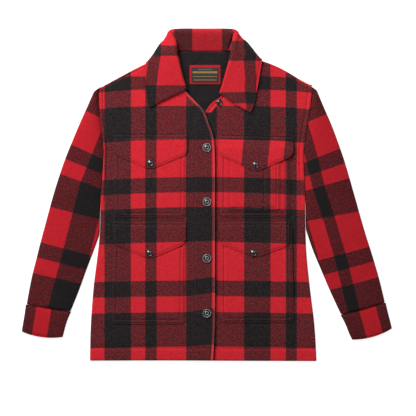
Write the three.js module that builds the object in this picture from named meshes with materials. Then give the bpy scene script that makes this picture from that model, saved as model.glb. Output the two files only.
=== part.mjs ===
// A wool mackinaw jacket laid out flat, front up, in millimetres with +Z up.
// X runs to the right across the jacket as it lies, Y runs from the hem to the collar, and it lies on z = 0.
// "right" and "left" are the wearer's, so the right front is on the low X side.
import * as THREE from "three";

// Cloth, seams and the flattened body and sleeves
const CLOTH = 3;
const SEAM = 0.3;
const HEIGHT = 8.4;
const MIDDLE = HEIGHT / 2;
const ROLL = HEIGHT / 2;
const INNER_ROLL = ROLL - CLOTH;
const SHOULDER_SLOPE = THREE.MathUtils.degToRad(26.6);
const RIGHT_SHOULDER_BOW = 1.5;
const LEFT_SHOULDER_BOW = 7;

// The right front laps over the left one between these X.
const LAP_RISE = CLOTH + SEAM;
const LAP_X = [-38, -18];

// The collar's back lies on the floor and lifts the body's neck by its own thickness.
const COLLAR_CLOTH = 4.5;
const NECK_RISE = COLLAR_CLOTH + SEAM;
const NECK_RISE_Y = [225, 305];
const NECK_RISE_X = [118, 225];

// Doubled cloth of the cuffs, and how far their ends bow out
const CUFF_CLOTH = 3.8;
const CUFF_HEIGHT = 10;
const CUFF_BOW = 7;

// Patch pockets and flaps
const PATCH_CLOTH = 2.7;
const POCKET_CORNER = 10;
const FLAP_CORNER = 12;
const PATCH_RISE = PATCH_CLOTH + SEAM;
const FLAP_SLOPE = 11;
const FLAP_DEPTHS = [0, 5.5, 11, 20, 29];
const ENTRY_LIFT = 2.5;
const ENTRY_WIDTH = 30;
const ENTRY_Y = [-262, -225, -70, -52];

// Neck lining and label
const LINING_GAP = 0.6;
const LINING = 1;
const NECK_LINING = { x: [-76, 72], y: [150, 327.6] };
const LABEL_PATCH = { x: [-32, 41], y: [252, 297], cloth: 1 };
const LABEL = { x: [-28, 35], y: [257, 292], cloth: 0.6 };

// Fronts: side edge x, y, then opening edge x, y. The rows go from the hem to the shoulder.
const RIGHT_FRONT = [
  [-261, -381.5, 22, -380.8],
  [-259, -300, 26, -305],
  [-252.8, -215, 26.4, -222],
  [-244.8, -150, 26.4, -155],
  [-238.5, -93, 26.4, -93],
  [-236.3, -20, 26.4, -25],
  [-232, 45, 26.4, 35],
  [-229, 100, 26.2, 88],
  [-232.5, 135, 22.8, 130],
  [-236.5, 165, 12.6, 162],
  [-238.3, 190, 0.2, 193],
  [-239.3, 213, -22.8, 217.6],
  [-239.8, 226, -45, 243],
  [-240, 236, -67, 287],
  [-240, 246.5, -84, 324],
];
const LEFT_FRONT = [
  [260, -382.5, -12, -381.5],
  [255, -300, -12, -305],
  [244.7, -215, -12, -222],
  [237, -140, -12, -155],
  [234.3, -79, -12, -93],
  [233.5, -15, -12, -25],
  [231, 45, -12, 35],
  [230, 100, -12, 88],
  [234.5, 135, -11, 130],
  [239.5, 165, -6.5, 160],
  [243.5, 190, 2, 186],
  [246.5, 212, 19.6, 211],
  [248, 226, 41, 228],
  [249.5, 238, 65, 283],
  [250, 252, 84, 324],
];
const UNDERARM = 4;
const BACK_NECK_Y = 329;

// How far across each panel its lines of points lie, from 0 at the first edge to 1 at the last
const RIGHT_ACROSS = [0, 0.15, 0.3, 0.45, 0.6, 0.755, 0.8, 0.85, 0.92, 1];
const LEFT_ACROSS = [0, 0.15, 0.3, 0.45, 0.6, 0.74, 0.87, 1];
const BACK_ACROSS = [0, 0.1, 0.2, 0.28, 0.34, 0.42, 0.5, 0.58, 0.66, 0.72, 0.8, 0.9, 1];

// Upper sleeves: armhole y, then overarm edge x, y. The rows go from the cap to the underarm.
const RIGHT_SLEEVE_TOP = [
  [242, -252.5, 235],
  [190, -266.8, 202.5],
  [145, -282.8, 167],
  [100, -298, 131],
  [40, -320.8, 74],
  [-30, -343.5, 4.4],
  [-93, -361.7, -62],
];
const LEFT_SLEEVE_TOP = [
  [245, 261, 238],
  [190, 275.5, 203],
  [145, 291.3, 167],
  [100, 305.2, 131],
  [45, 324, 77],
  [-15, 343, 12],
  [-79, 361, -52],
];
// Lower sleeves: underarm edge x, y, then overarm edge x, y. The rows go from the underarm to the cuff.
const RIGHT_SLEEVE_LOW = [
  [-251.5, -128, -371.2, -97],
  [-268, -171, -382.6, -142],
  [-285, -218, -395.7, -195],
  [-305, -268, -406.3, -252],
];
const LEFT_SLEEVE_LOW = [
  [249.6, -124, 372.8, -92],
  [269.5, -172, 388, -140],
  [290.8, -222, 403.2, -192],
  [316, -276, 416.9, -248],
];
// Cuffs below their seams, in the same columns
const CUFF_FLARE = 1.5;
const RIGHT_CUFF = [
  [-313, -290, -411, -274],
  [-319.5, -313, -415, -298],
  [-323, -327, -417.5, -314],
];
const LEFT_CUFF = [
  [325.5, -297, 423.3, -269],
  [334.2, -319, 429.5, -293],
  [341, -333, 432.8, -307],
];

// The collar's sections, at the middle of its cloth: neck seam x, y, h, roll line x, y, h, half way
// down the fall x, y, h, outer edge x, y, h, and the roll's radius. h is the height over the neck's rise.
const COLLAR = [
  [-41, 242.2, 8, -37.8, 240.4, 11.1, -78, 223, 12.6, -116.5, 203, 11, 3],
  [-50, 256, 7.9, -45, 258, 11.2, -86, 238, 13, -126.5, 206, 11.1, 3],
  [-60, 277, 7.8, -51.5, 281, 12.2, -93, 263, 13.6, -131.5, 247, 11.1, 3.4],
  [-71, 302, 7.9, -56.5, 304, 14, -99, 291, 14.2, -133, 276, 11.1, 4],
  [-80.5, 320, 8, -60.5, 321, 16, -102, 306, 14.6, -134, 292, 11, 4.5],
  [-73, 328.4, 5.5, -62, 335, 17.5, -104.5, 323, 13.4, -129, 303, 8.8, 4.8],
  [-63, 329.4, 3, -66, 354, 15.5, -96, 348, 5, -116, 311, -2.4, 5],
  [-54, 329.4, 2.4, -76, 374, 9.5, -94, 343, -2.2, -113, 310.5, -2.55, 5.4],
  [-38, 329.4, 2.4, -53, 378.8, 4.8, -64, 344, -2.55, -78, 311, -2.55, 6],
  [-13, 329.4, 2.4, -17, 378.8, 4.8, -21, 344, -2.55, -25, 311, -2.55, 6],
  [13, 329.4, 2.4, 17, 378.8, 4.8, 21, 344, -2.55, 25, 311, -2.55, 6],
  [38, 329.4, 2.4, 50, 378.8, 4.8, 62, 344, -2.55, 78, 311, -2.55, 6],
  [54, 329.4, 2.4, 73, 375, 9.5, 94, 345, -2.2, 113, 310.5, -2.55, 5.4],
  [63, 329.4, 3, 70, 356, 15.5, 97.5, 350, 5, 124, 311, -2.4, 5],
  [73, 328.4, 5.5, 67, 336, 17.5, 106, 327, 13.6, 133.5, 307, 11.2, 4.8],
  [80.5, 320, 8, 63.5, 321, 16, 101, 307, 14.6, 132, 292, 11, 4.5],
  [71, 302, 7.9, 59, 303, 14, 98, 289, 14.2, 129, 274, 11.1, 4],
  [61, 277, 7.8, 52, 278, 12.2, 90, 261, 13.6, 123.5, 243, 11.1, 3.4],
  [47.5, 246, 7.9, 43, 247, 11.2, 82, 229, 13, 118, 211, 11.1, 3],
  [40.5, 230.5, 7.9, 36.8, 230.5, 11, 70, 208.5, 12.6, 108.5, 187.5, 11, 3],
];

// Patch pockets: x of both sides at the bottom and at the mouth, bottom and mouth y.
// entry is the side of a hip pocket that stays open for the hand, and lift is what lies beneath.
const POCKETS = [
  { name: "right_chest_pocket", bottom: [-206, -40], mouth: [-206, -40], y: [-53.8, 126] },
  { name: "left_chest_pocket", bottom: [35.7, 199], mouth: [35.7, 199], y: [-53.8, 123] },
  { name: "right_hip_pocket", bottom: [-212.3, -43], mouth: [-206.5, -40.3], y: [-298.3, -72], entry: -1 },
  { name: "left_hip_pocket", bottom: [36.3, 207.9], mouth: [36.3, 203.6], y: [-294.5, -72], entry: 1 },
  { name: "pen_pocket", bottom: [52, 176], mouth: [52, 176], y: [-38.4, 100], lift: PATCH_RISE },
];

// Flaps: x of both ends, y of the top edge and of the lower corners at both ends, the point,
// and the button. pen is the y range over which a flap climbs the pen pocket.
const FLAPS = [
  { name: "right_chest_flap", x: [-208, -36.6], top: [139.4, 139.4], side: [93, 93], point: [-122, 56.6],
    button: [-122, 72.7] },
  { name: "left_chest_flap", x: [34.7, 205.6], top: [137, 133.2], side: [93, 89], point: [119.6, 51.5],
    button: [119.4, 68.1], pen: [105, 118] },
  { name: "right_hip_flap", x: [-207.7, -40.7], top: [-59.6, -59.6], side: [-112.7, -112.7],
    point: [-122, -148], button: [-124.4, -133.9], entry: -1 },
  { name: "left_hip_flap", x: [35, 197.6], top: [-59.6, -59.6], side: [-112, -116], point: [122, -144.7],
    button: [114.3, -133.6], entry: 1 },
];
const FRONT_BUTTON_X = 7.8;
const FRONT_BUTTON_Y = [107.9, -16.6, -146, -271.9];
const COLLAR_BUTTON = [36.5, 211.5];
const BUTTON_RADIUS = 10;
const FLAP_BUTTON_RADIUS = 7.5;
// The button's profile as shares of its radius: distance from the axis, then height
const BUTTON_PROFILE = [
  [0, 0], [0.8, 0], [1, 0.14], [0.97, 0.27], [0.84, 0.32], [0.7, 0.25], [0.55, 0.17], [0, 0.17],
];
const BUTTON_SIDES = 16;

const lerp = THREE.MathUtils.lerp;
const smooth = (value, [low, high]) => THREE.MathUtils.smoothstep(value, low, high);

// How far the collar's back lifts the body at a place on the floor
function neckRise(x, y) {
  return NECK_RISE * smooth(y, NECK_RISE_Y) * (1 - smooth(Math.abs(x), NECK_RISE_X));
}

// The outer face of a front, which laps up where it is the right one
function frontTop(x, y, isRight = x < 0) {
  const lap = isRight ? LAP_RISE * smooth(x, LAP_X) : 0;
  return HEIGHT + neckRise(x, y) + lap;
}

// A closed wall between two grids of points that match row by row, open or joined up all round
function wallGeometry(outer, inner, isRing = false) {
  const rows = outer.length;
  const columns = outer[0].length;
  const positions = [...outer, ...inner].flat().flatMap((point) => point.toArray());
  const index = [];
  const at = (side, row, column) => (side * rows + row) * columns + (column % columns);
  const quad = (a, b, c, d) => index.push(a, b, c, a, c, d);
  const spans = isRing ? columns : columns - 1;
  for (let column = 0; column < spans; column++) {
    const next = column + 1;
    for (let row = 0; row < rows - 1; row++) {
      quad(at(0, row, column), at(0, row, next), at(0, row + 1, next), at(0, row + 1, column));
      quad(at(1, row, column), at(1, row + 1, column), at(1, row + 1, next), at(1, row, next));
    }
    quad(at(0, 0, column), at(1, 0, column), at(1, 0, next), at(0, 0, next));
    quad(at(0, rows - 1, column), at(0, rows - 1, next), at(1, rows - 1, next), at(1, rows - 1, column));
  }
  for (let row = 0; row < rows - 1 && !isRing; row++) {
    const last = columns - 1;
    quad(at(0, row, 0), at(0, row + 1, 0), at(1, row + 1, 0), at(1, row, 0));
    quad(at(0, row, last), at(1, row, last), at(1, row + 1, last), at(0, row + 1, last));
  }
  const geometry = new THREE.BufferGeometry();
  geometry.setAttribute("position", new THREE.Float32BufferAttribute(positions, 3));
  geometry.setIndex(isInsideOut(positions, index) ? index.reverse() : index);
  geometry.computeVertexNormals();
  return geometry;
}

function isInsideOut(positions, index) {
  const corner = (i) => new THREE.Vector3().fromArray(positions, 3 * index[i]);
  let volume = 0;
  for (let i = 0; i < index.length; i += 3) {
    volume += corner(i).dot(corner(i + 1).cross(corner(i + 2)));
  }
  return volume < 0;
}

// A smooth curve through a table's rows, at t from 0 to 1, with every column read as one coordinate
function along(table, t) {
  const place = THREE.MathUtils.clamp(t, 0, 1) * (table.length - 1);
  const start = Math.min(Math.floor(place), table.length - 2);
  const part = place - start;
  const row = (i) => table[THREE.MathUtils.clamp(i, 0, table.length - 1)];
  return table[0].map((_, k) => {
    const [a, b, c, d] = [start - 1, start, start + 1, start + 2].map((i) => row(i)[k]);
    const square = 2 * a - 5 * b + 4 * c - d;
    const cube = 3 * b - a - 3 * c + d;
    return b + (part * (c - a + part * (square + part * cube))) / 2;
  });
}

// How a layer meets the other one at a seam: it rolls round to the middle height, or ends flat where
// share is 0. Steps run from the seam inwards, In is the distance from it and Up the height over the middle.
const ROLL_ANGLES = [0, 30, 60].map(THREE.MathUtils.degToRad);
const PAST_ROLL = ROLL_ANGLES.length;
function edgeRoll(step, share) {
  if (step >= PAST_ROLL) return { outerIn: ROLL, outerUp: ROLL, innerIn: ROLL, innerUp: INNER_ROLL };
  const angle = ROLL_ANGLES[step];
  const cut = (ROLL * step) / PAST_ROLL;
  return {
    outerIn: lerp(cut, ROLL * (1 - Math.cos(angle)), share),
    outerUp: lerp(ROLL, Math.max(SEAM / 2, ROLL * Math.sin(angle)), share),
    innerIn: lerp(cut, CLOTH + INNER_ROLL * (1 - Math.cos(angle)), share),
    innerUp: lerp(INNER_ROLL, Math.max(SEAM / 2, INNER_ROLL * Math.sin(angle)), share),
  };
}

// The body's levels, from the hem to the shoulder: t along the tables and whether the side is an armhole
const LEVELS = [0, 1, 2, 3, 4, 5, 6];
for (let row = LEVELS.length; row < RIGHT_FRONT.length; row += 0.5) LEVELS.push(row);
const levelT = (level) => level / (RIGHT_FRONT.length - 1);
const isArmhole = (level) => level > UNDERARM;

// A body layer. near and far give its two edges at t, top its upper edge at u, each as [x, y], with the
// rolls taken off. columns hold u and the roll step and outward side at each line of points.
function bodyLayer({ near, far, top, columns, topRoll, topOut, layer, rise }) {
  const bottom = (u) => [lerp(near(0)[0], far(0)[0], u), lerp(near(0)[1], far(0)[1], u)];
  const plan = (u, t) =>
    [0, 1].map((k) => {
      const edges = lerp(bottom(u)[k], top(u)[k], t) + lerp(near(t)[k], far(t)[k], u);
      return edges - lerp(lerp(bottom(0)[k], bottom(1)[k], u), lerp(top(0)[k], top(1)[k], u), t);
    });
  const levels = LEVELS.map((level) => ({
    t: levelT(level),
    share: isArmhole(level) ? 0 : 1,
    topStep: PAST_ROLL,
  }));
  for (let step = PAST_ROLL - 1; step >= 0; step--) levels.push({ t: 1, share: 0, topStep: step });
  const gridOf = (inKey, upKey) =>
    levels.map(({ t, share, topStep }) =>
      columns.map(({ u, step, side }) => {
        const [baseX, baseY] = plan(u, t);
        const atSide = edgeRoll(step, share);
        const atTop = edgeRoll(topStep, topRoll(u));
        const out = ROLL - atTop[inKey];
        const x = baseX + side * (ROLL - atSide[inKey]) + topOut(u)[0] * out;
        const y = baseY + topOut(u)[1] * out;
        const up = Math.min(atSide[upKey], atTop[upKey]);
        return new THREE.Vector3(x, y, MIDDLE + layer * up + rise(x, y));
      }),
    );
  return wallGeometry(gridOf("outerIn", "outerUp"), gridOf("innerIn", "innerUp"));
}

const rollColumns = (u, side) => ROLL_ANGLES.map((_, step) => ({ u, step, side }));
const flatColumns = (across) => across.map((u) => ({ u, step: PAST_ROLL, side: 0 }));

// The shoulder's upper edge is drawn in by the roll over the last levels of a side or neck edge.
function drawnIn([x, y], t, out, side) {
  const share = THREE.MathUtils.smoothstep(t, 0.9, 1);
  return [x - side * ROLL - share * out[0] * ROLL, y - share * out[1] * ROLL];
}

const shoulderOut = (side) => [side * Math.sin(SHOULDER_SLOPE), Math.cos(SHOULDER_SLOPE)];

// A place on a shoulder line between its two ends, which bows out in its middle.
const onShoulder = (start, end, part, side) => {
  const bow = (side > 0 ? LEFT_SHOULDER_BOW : RIGHT_SHOULDER_BOW) * Math.sin(Math.PI * part) ** 2;
  return [0, 1].map((k) => lerp(start[k], end[k], part) + shoulderOut(side)[k] * bow);
};

function frontGeometry(table, side, across) {
  const out = shoulderOut(side);
  const near = (t) => drawnIn(along(table, t).slice(0, 2), t, out, side);
  const far = (t) => drawnIn(along(table, t).slice(2), t, out, 0);
  return bodyLayer({
    near,
    far,
    top: (u) => onShoulder(near(1), far(1), u, side),
    columns: [...rollColumns(0, side), ...flatColumns(across)],
    topRoll: (u) => 1 - smooth(u, [0.72, 0.95]),
    topOut: () => out,
    layer: 1,
    rise: (x, y) => frontTop(x, y, side < 0) - HEIGHT,
  });
}

function backGeometry() {
  const [right, left] = [shoulderOut(-1), shoulderOut(1)];
  const near = (t) => drawnIn(along(RIGHT_FRONT, t).slice(0, 2), t, right, -1);
  const far = (t) => drawnIn(along(LEFT_FRONT, t).slice(0, 2), t, left, 1);
  const [rightNeck, leftNeck] = [BACK_ACROSS[4], BACK_ACROSS[8]];
  const [, , neckX, leftNeckY] = along(LEFT_FRONT, 1);
  const rightNeckY = along(RIGHT_FRONT, 1)[3];
  const topOut = (u) => (u < rightNeck ? right : u > leftNeck ? left : [0, 1]);
  const top = (u) => {
    if (u < rightNeck) {
      const neck = [-neckX - right[0] * ROLL, rightNeckY - right[1] * ROLL];
      return onShoulder(near(1), neck, u / rightNeck, -1);
    }
    if (u > leftNeck) {
      const neck = [neckX - left[0] * ROLL, leftNeckY - left[1] * ROLL];
      return onShoulder(neck, far(1), (u - leftNeck) / (1 - leftNeck), 1);
    }
    const part = (u - rightNeck) / (leftNeck - rightNeck);
    const arch = Math.sqrt(Math.max(0, Math.sin(Math.PI * part)));
    return [lerp(-neckX, neckX, part), lerp(lerp(rightNeckY, leftNeckY, part), BACK_NECK_Y, arch) - ROLL];
  };
  return bodyLayer({
    near,
    far,
    top,
    columns: [...rollColumns(0, -1), ...flatColumns(BACK_ACROSS), ...rollColumns(1, 1).reverse()],
    topRoll: (u) => 1 - smooth(0.5 - Math.abs(u - 0.5), [BACK_ACROSS[2], BACK_ACROSS[3]]),
    topOut,
    layer: -1,
    rise: neckRise,
  });
}

// A flattened tube's section, w wide: along the bottom layer, round the outer fold and back along the top
// one. In is the distance from the inner edge and Up the height over the middle, on both faces of the cloth.
function foldedSection(w, share) {
  const points = [];
  const add = (outerIn, outerUp, innerIn, innerUp) => points.push({ outerIn, outerUp, innerIn, innerUp });
  const layer = (sign) => {
    const half = [];
    for (let step = 0; step < PAST_ROLL; step++) {
      const roll = edgeRoll(step, share);
      half.push([roll.outerIn, sign * roll.outerUp, roll.innerIn, sign * roll.innerUp]);
    }
    for (const part of [0, 0.5, 1]) {
      const distance = lerp(ROLL, w - ROLL, part);
      half.push([distance, sign * ROLL, distance, sign * INNER_ROLL]);
    }
    return half;
  };
  layer(-1).forEach((row) => add(...row));
  for (const angle of [-45, 0, 45].map(THREE.MathUtils.degToRad)) {
    const [cos, sin] = [Math.cos(angle), Math.sin(angle)];
    add(w - ROLL + ROLL * cos, ROLL * sin, w - ROLL + INNER_ROLL * cos, INNER_ROLL * sin);
  }
  layer(1).reverse().forEach((row) => add(...row));
  return points;
}

// A sleeve's rows from the cap to the cuff: inner edge, outer edge and whether the inner edge is a seam
function sleeveRows(front, side, upper, lower) {
  const rows = [];
  for (const level of LEVELS.filter((value) => value >= UNDERARM).reverse()) {
    const [x, y] = along(front, levelT(level));
    if (y > upper[0][0] + 1) continue;
    const next = upper.findIndex((row) => row[0] <= y + 0.01);
    const start = Math.max(next < 0 ? upper.length - 1 : next, 1);
    const part = (upper[start - 1][0] - y) / (upper[start - 1][0] - upper[start][0]);
    const [, outerX, outerY] = along(upper, (start - 1 + part) / (upper.length - 1));
    rows.push({ inner: [x + side * SEAM, y], outer: [outerX, outerY], share: isArmhole(level) ? 0 : 1 });
  }
  const last = rows[rows.length - 1];
  const joined = [[...last.inner, ...last.outer], ...lower];
  for (let i = 1; i <= 2 * lower.length; i++) {
    const [innerX, innerY, outerX, outerY] = along(joined, i / (2 * lower.length));
    rows.push({ inner: [innerX, innerY], outer: [outerX, outerY], share: 1 });
  }
  return rows;
}

function sleeveGeometry(front, side, upper, lower) {
  const rows = sleeveRows(front, side, upper, lower);
  const gridOf = (inKey, upKey) =>
    rows.map(({ inner, outer, share }) => {
      const start = new THREE.Vector3(...inner, MIDDLE);
      const across = new THREE.Vector3(...outer, MIDDLE).sub(start);
      const width = across.length();
      across.normalize();
      return foldedSection(width, share).map((point) => {
        const place = start.clone().addScaledVector(across, point[inKey]);
        return place.setZ(MIDDLE + point[upKey]);
      });
    });
  return wallGeometry(gridOf("outerIn", "outerUp"), gridOf("innerIn", "innerUp"));
}

// The cuff's first row: the sleeve's last one, moved over the seam and widened
function cuffStart(sleeveEnd) {
  const inner = new THREE.Vector2(...sleeveEnd.slice(0, 2));
  const outer = new THREE.Vector2(...sleeveEnd.slice(2));
  const across = outer.clone().sub(inner).normalize();
  const down = new THREE.Vector2(across.y, -across.x);
  if (down.y > 0) down.negate();
  inner.addScaledVector(down, SEAM).addScaledVector(across, -CUFF_FLARE);
  outer.addScaledVector(down, SEAM).addScaledVector(across, CUFF_FLARE);
  return [inner.x, inner.y, outer.x, outer.y];
}

// A cuff is a flattened ring of doubled cloth, whose end bows out along the sleeve.
function cuffGeometry(sleeve, rows) {
  const table = [cuffStart(sleeve[sleeve.length - 1]), ...rows];
  const radius = CUFF_HEIGHT / 2;
  const arc = [-90, -45, 0, 45, 90].map(THREE.MathUtils.degToRad);
  const parts = [0.25, 0.5, 0.75];
  const middle = ([ax, ay, bx, by]) => new THREE.Vector3((ax + bx) / 2, (ay + by) / 2, 0);
  const axis = middle(table[table.length - 1]).sub(middle(table[0])).normalize();
  const gridOf = (thickness) =>
    table.map(([innerX, innerY, outerX, outerY], row) => {
      const start = new THREE.Vector3(innerX, innerY, radius);
      const across = new THREE.Vector3(outerX, outerY, radius).sub(start);
      const width = across.length();
      across.normalize();
      const ring = arc.map((a) => [width - radius + (radius - thickness) * Math.cos(a), Math.sin(a)]);
      parts.forEach((part) => ring.push([lerp(width - radius, radius, part), 1]));
      arc.forEach((a) => ring.push([radius - (radius - thickness) * Math.cos(a), -Math.sin(a)]));
      parts.forEach((part) => ring.push([lerp(radius, width - radius, part), -1]));
      return ring.map(([distance, up]) => {
        const share = distance / width;
        const bow = CUFF_BOW * 4 * share * (1 - share) * (row / (table.length - 1)) ** 2;
        const place = start.clone().addScaledVector(across, distance).addScaledVector(axis, bow);
        return place.setZ(radius + up * (radius - thickness));
      });
    });
  return wallGeometry(gridOf(0), gridOf(CUFF_CLOTH), true);
}

// One section of the collar: up the stand, round the roll and down the fall. The roll turns square to
// the roll line, whose direction is read over a short stretch of the table.
const ROLL_STRETCH = 0.02;
function collarSection(t) {
  const row = along(COLLAR, t);
  const [neck, roll, fall, edge] = [0, 3, 6, 9].map((k) => new THREE.Vector3(...row.slice(k, k + 3)));
  const radius = row[12];
  const rollAt = (place) => new THREE.Vector3(...along(COLLAR, place).slice(3, 6));
  const lengthwise = rollAt(t + ROLL_STRETCH).sub(rollAt(t - ROLL_STRETCH)).normalize();
  const towards = (point) => point.clone().sub(roll).projectOnPlane(lengthwise).normalize();
  const [toNeck, toFall] = [towards(neck), towards(fall)];
  const ahead = toNeck.clone().add(toFall).normalize().negate();
  const over = lengthwise.clone().cross(ahead).normalize();
  if (over.dot(toFall.clone().sub(toNeck)) < 0) over.negate();
  const centre = roll.clone().addScaledVector(ahead, -radius);
  const onRoll = (angle) =>
    centre
      .clone()
      .addScaledVector(ahead, radius * Math.cos(angle))
      .addScaledVector(over, radius * Math.sin(angle));
  const [start, end] = [onRoll(-Math.PI / 2), onRoll(Math.PI / 2)];
  const bend = Math.min(1.5 * radius, start.distanceTo(neck) / 3);
  const stand = new THREE.CubicBezierCurve3(
    neck,
    neck.clone().lerp(start, 1 / 3),
    start.clone().addScaledVector(ahead, -bend),
    start,
  );
  const through = edge.clone().sub(end).normalize();
  const upper = new THREE.CubicBezierCurve3(
    end,
    end.clone().addScaledVector(ahead, -1.5 * radius),
    fall.clone().addScaledVector(through, -end.distanceTo(fall) / 3),
    fall,
  );
  const lower = new THREE.CubicBezierCurve3(
    fall,
    fall.clone().addScaledVector(through, fall.distanceTo(edge) / 3),
    edge.clone().lerp(fall, 1 / 3),
    edge,
  );
  const points = [0, 1 / 3, 2 / 3].map((part) => stand.getPoint(part));
  points.push(...[-90, -45, 0, 45].map((angle) => onRoll(THREE.MathUtils.degToRad(angle))));
  points.push(...[0, 0.3, 0.65].map((part) => upper.getPoint(part)));
  points.push(...[0, 1 / 3, 2 / 3, 1].map((part) => lower.getPoint(part)));
  return points.map(({ x, y, z }) => new THREE.Vector3(x, y, z + neckRise(x, y)));
}

function collarGeometry() {
  const count = 2 * (COLLAR.length - 1);
  const middle = [];
  for (let i = 0; i <= count; i++) middle.push(collarSection(i / count));
  const clampIn = (list, i) => list[THREE.MathUtils.clamp(i, 0, list.length - 1)];
  const normal = (row, column) => {
    const lengthwise = clampIn(middle, row + 1)[column].clone().sub(clampIn(middle, row - 1)[column]);
    const across = clampIn(middle[row], column + 1).clone().sub(clampIn(middle[row], column - 1));
    return lengthwise.cross(across).normalize();
  };
  const moved = (distance) =>
    middle.map((points, row) =>
      points.map((point, column) => {
        const place = point.clone().addScaledVector(normal(row, column), distance);
        return place.setZ(Math.max(0, place.z));
      }),
    );
  return wallGeometry(moved(COLLAR_CLOTH / 2), moved(-COLLAR_CLOTH / 2));
}

// The hand entry of a hip pocket stands off the front along its outer side.
function entryLift(x, y, entry) {
  if (!entry) return 0;
  const edge = entry < 0 ? POCKETS[2] : POCKETS[3];
  const t = THREE.MathUtils.mapLinear(y, edge.y[0], edge.y[1], 0, 1);
  const side = entry < 0 ? 0 : 1;
  const distance = entry * (lerp(edge.bottom[side], edge.mouth[side], t) - x);
  const height = smooth(y, ENTRY_Y.slice(0, 2)) * (1 - smooth(y, ENTRY_Y.slice(2)));
  return ENTRY_LIFT * height * (1 - smooth(distance, [0, ENTRY_WIDTH]));
}

// A flat piece that lies on a front: a grid of [x, y, height over the front], with its thickness
function layGeometry(grid, thickness) {
  const lifted = ([x, y, up]) => new THREE.Vector3(x, y, frontTop(x, y) + up + thickness);
  const outer = grid.map((row) => row.map(lifted));
  const inner = grid.map((row) => row.map(([x, y, up]) => new THREE.Vector3(x, y, frontTop(x, y) + up)));
  return wallGeometry(outer, inner);
}

const cornerDrop = (distance, radius) =>
  distance >= radius ? 0 : radius - Math.sqrt(radius ** 2 - (radius - distance) ** 2);

function pocketGeometry({ bottom, mouth, y, entry, lift = 0 }) {
  const rising = [0.2, 0.4, 0.6, 0.8, 1].map((part) => part * (y[1] - y[0]));
  const heights = [0, 1, 4, POCKET_CORNER, ...rising];
  const across = [0, 0.06, 0.14, 0.3, 0.5, 0.7, 0.86, 0.94, 1];
  const grid = heights.map((height) => {
    const t = height / (y[1] - y[0]);
    const inset = cornerDrop(height, POCKET_CORNER);
    const [low, high] = [lerp(bottom[0], mouth[0], t) + inset, lerp(bottom[1], mouth[1], t) - inset];
    return across.map((u) => {
      const x = lerp(low, high, u);
      const placeY = y[0] + height;
      return [x, placeY, SEAM + lift + entryLift(x, placeY, entry)];
    });
  });
  return layGeometry(grid, PATCH_CLOTH);
}

// How high a flap's underside lies over the front: it is sewn down at its top and climbs the pocket.
function flapLift({ top, x: ends, pen, entry }, x, y) {
  const topY = lerp(top[0], top[1], (x - ends[0]) / (ends[1] - ends[0]));
  const overPocket = PATCH_RISE * smooth(topY - y, [1, FLAP_SLOPE]);
  const overPen = pen ? PATCH_RISE * (1 - smooth(y, pen)) : 0;
  return SEAM + overPocket + overPen + entryLift(x, y, entry);
}

function flapGeometry(flap) {
  const { x: [start, end], top, side, point } = flap;
  const corner = [0, 0.12, 0.4, 1].map((part) => part * FLAP_CORNER);
  const xs = [
    ...corner.map((distance) => start + distance),
    ...[1 / 3, 2 / 3, 1].map((part) => lerp(start + FLAP_CORNER, point[0], part)),
    ...[1 / 3, 2 / 3].map((part) => lerp(point[0], end - FLAP_CORNER, part)),
    ...corner.map((distance) => end - distance).reverse(),
  ];
  const columns = xs.map((x) => {
    const isStart = x <= point[0];
    const edge = isStart ? start : end;
    const drop = cornerDrop(Math.abs(x - edge), FLAP_CORNER);
    const low = lerp(isStart ? side[0] : side[1], point[1], (x - edge) / (point[0] - edge)) + drop;
    const high = lerp(top[0], top[1], (x - start) / (end - start));
    const depths = [...FLAP_DEPTHS];
    for (const part of [1 / 3, 2 / 3, 1]) depths.push(lerp(depths[FLAP_DEPTHS.length - 1], high - low, part));
    return depths.map((depth) => [x, high - depth, flapLift(flap, x, high - depth)]);
  });
  return layGeometry(columns, PATCH_CLOTH);
}

// A sheet that lies on the back panel inside the neck
function neckSheetGeometry({ x, y }, height, thickness, columns, rows) {
  const gridOf = (up) => {
    const grid = [];
    for (let row = 0; row <= rows; row++) {
      const placeY = lerp(y[0], y[1], row / rows);
      const line = [];
      for (let column = 0; column <= columns; column++) {
        const placeX = lerp(x[0], x[1], column / columns);
        line.push(new THREE.Vector3(placeX, placeY, CLOTH + neckRise(placeX, placeY) + up));
      }
      grid.push(line);
    }
    return grid;
  };
  return wallGeometry(gridOf(height + thickness), gridOf(height));
}

function buttonGeometry(radius) {
  const profile = BUTTON_PROFILE.map(([r, z]) => new THREE.Vector2(r * radius, z * radius));
  return new THREE.LatheGeometry(profile, BUTTON_SIDES).rotateX(Math.PI / 2);
}

const wool = new THREE.MeshStandardMaterial({ color: 0x9c1f2a, roughness: 0.95, side: THREE.DoubleSide });
const darkWool = new THREE.MeshStandardMaterial({ color: 0x5c1e20, roughness: 0.95 });
const lining = new THREE.MeshStandardMaterial({ color: 0x1d1a1b, roughness: 0.7 });
const labelCloth = new THREE.MeshStandardMaterial({ color: 0xa8101f, roughness: 0.8 });
const blackPlastic = new THREE.MeshStandardMaterial({ color: 0x141414, roughness: 0.2 });

const jacket = new THREE.Group();
function addPiece(name, geometry, material, x = 0, y = 0, z = 0) {
  const mesh = new THREE.Mesh(geometry, material);
  mesh.name = name;
  mesh.position.set(x, y, z);
  jacket.add(mesh);
}

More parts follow.
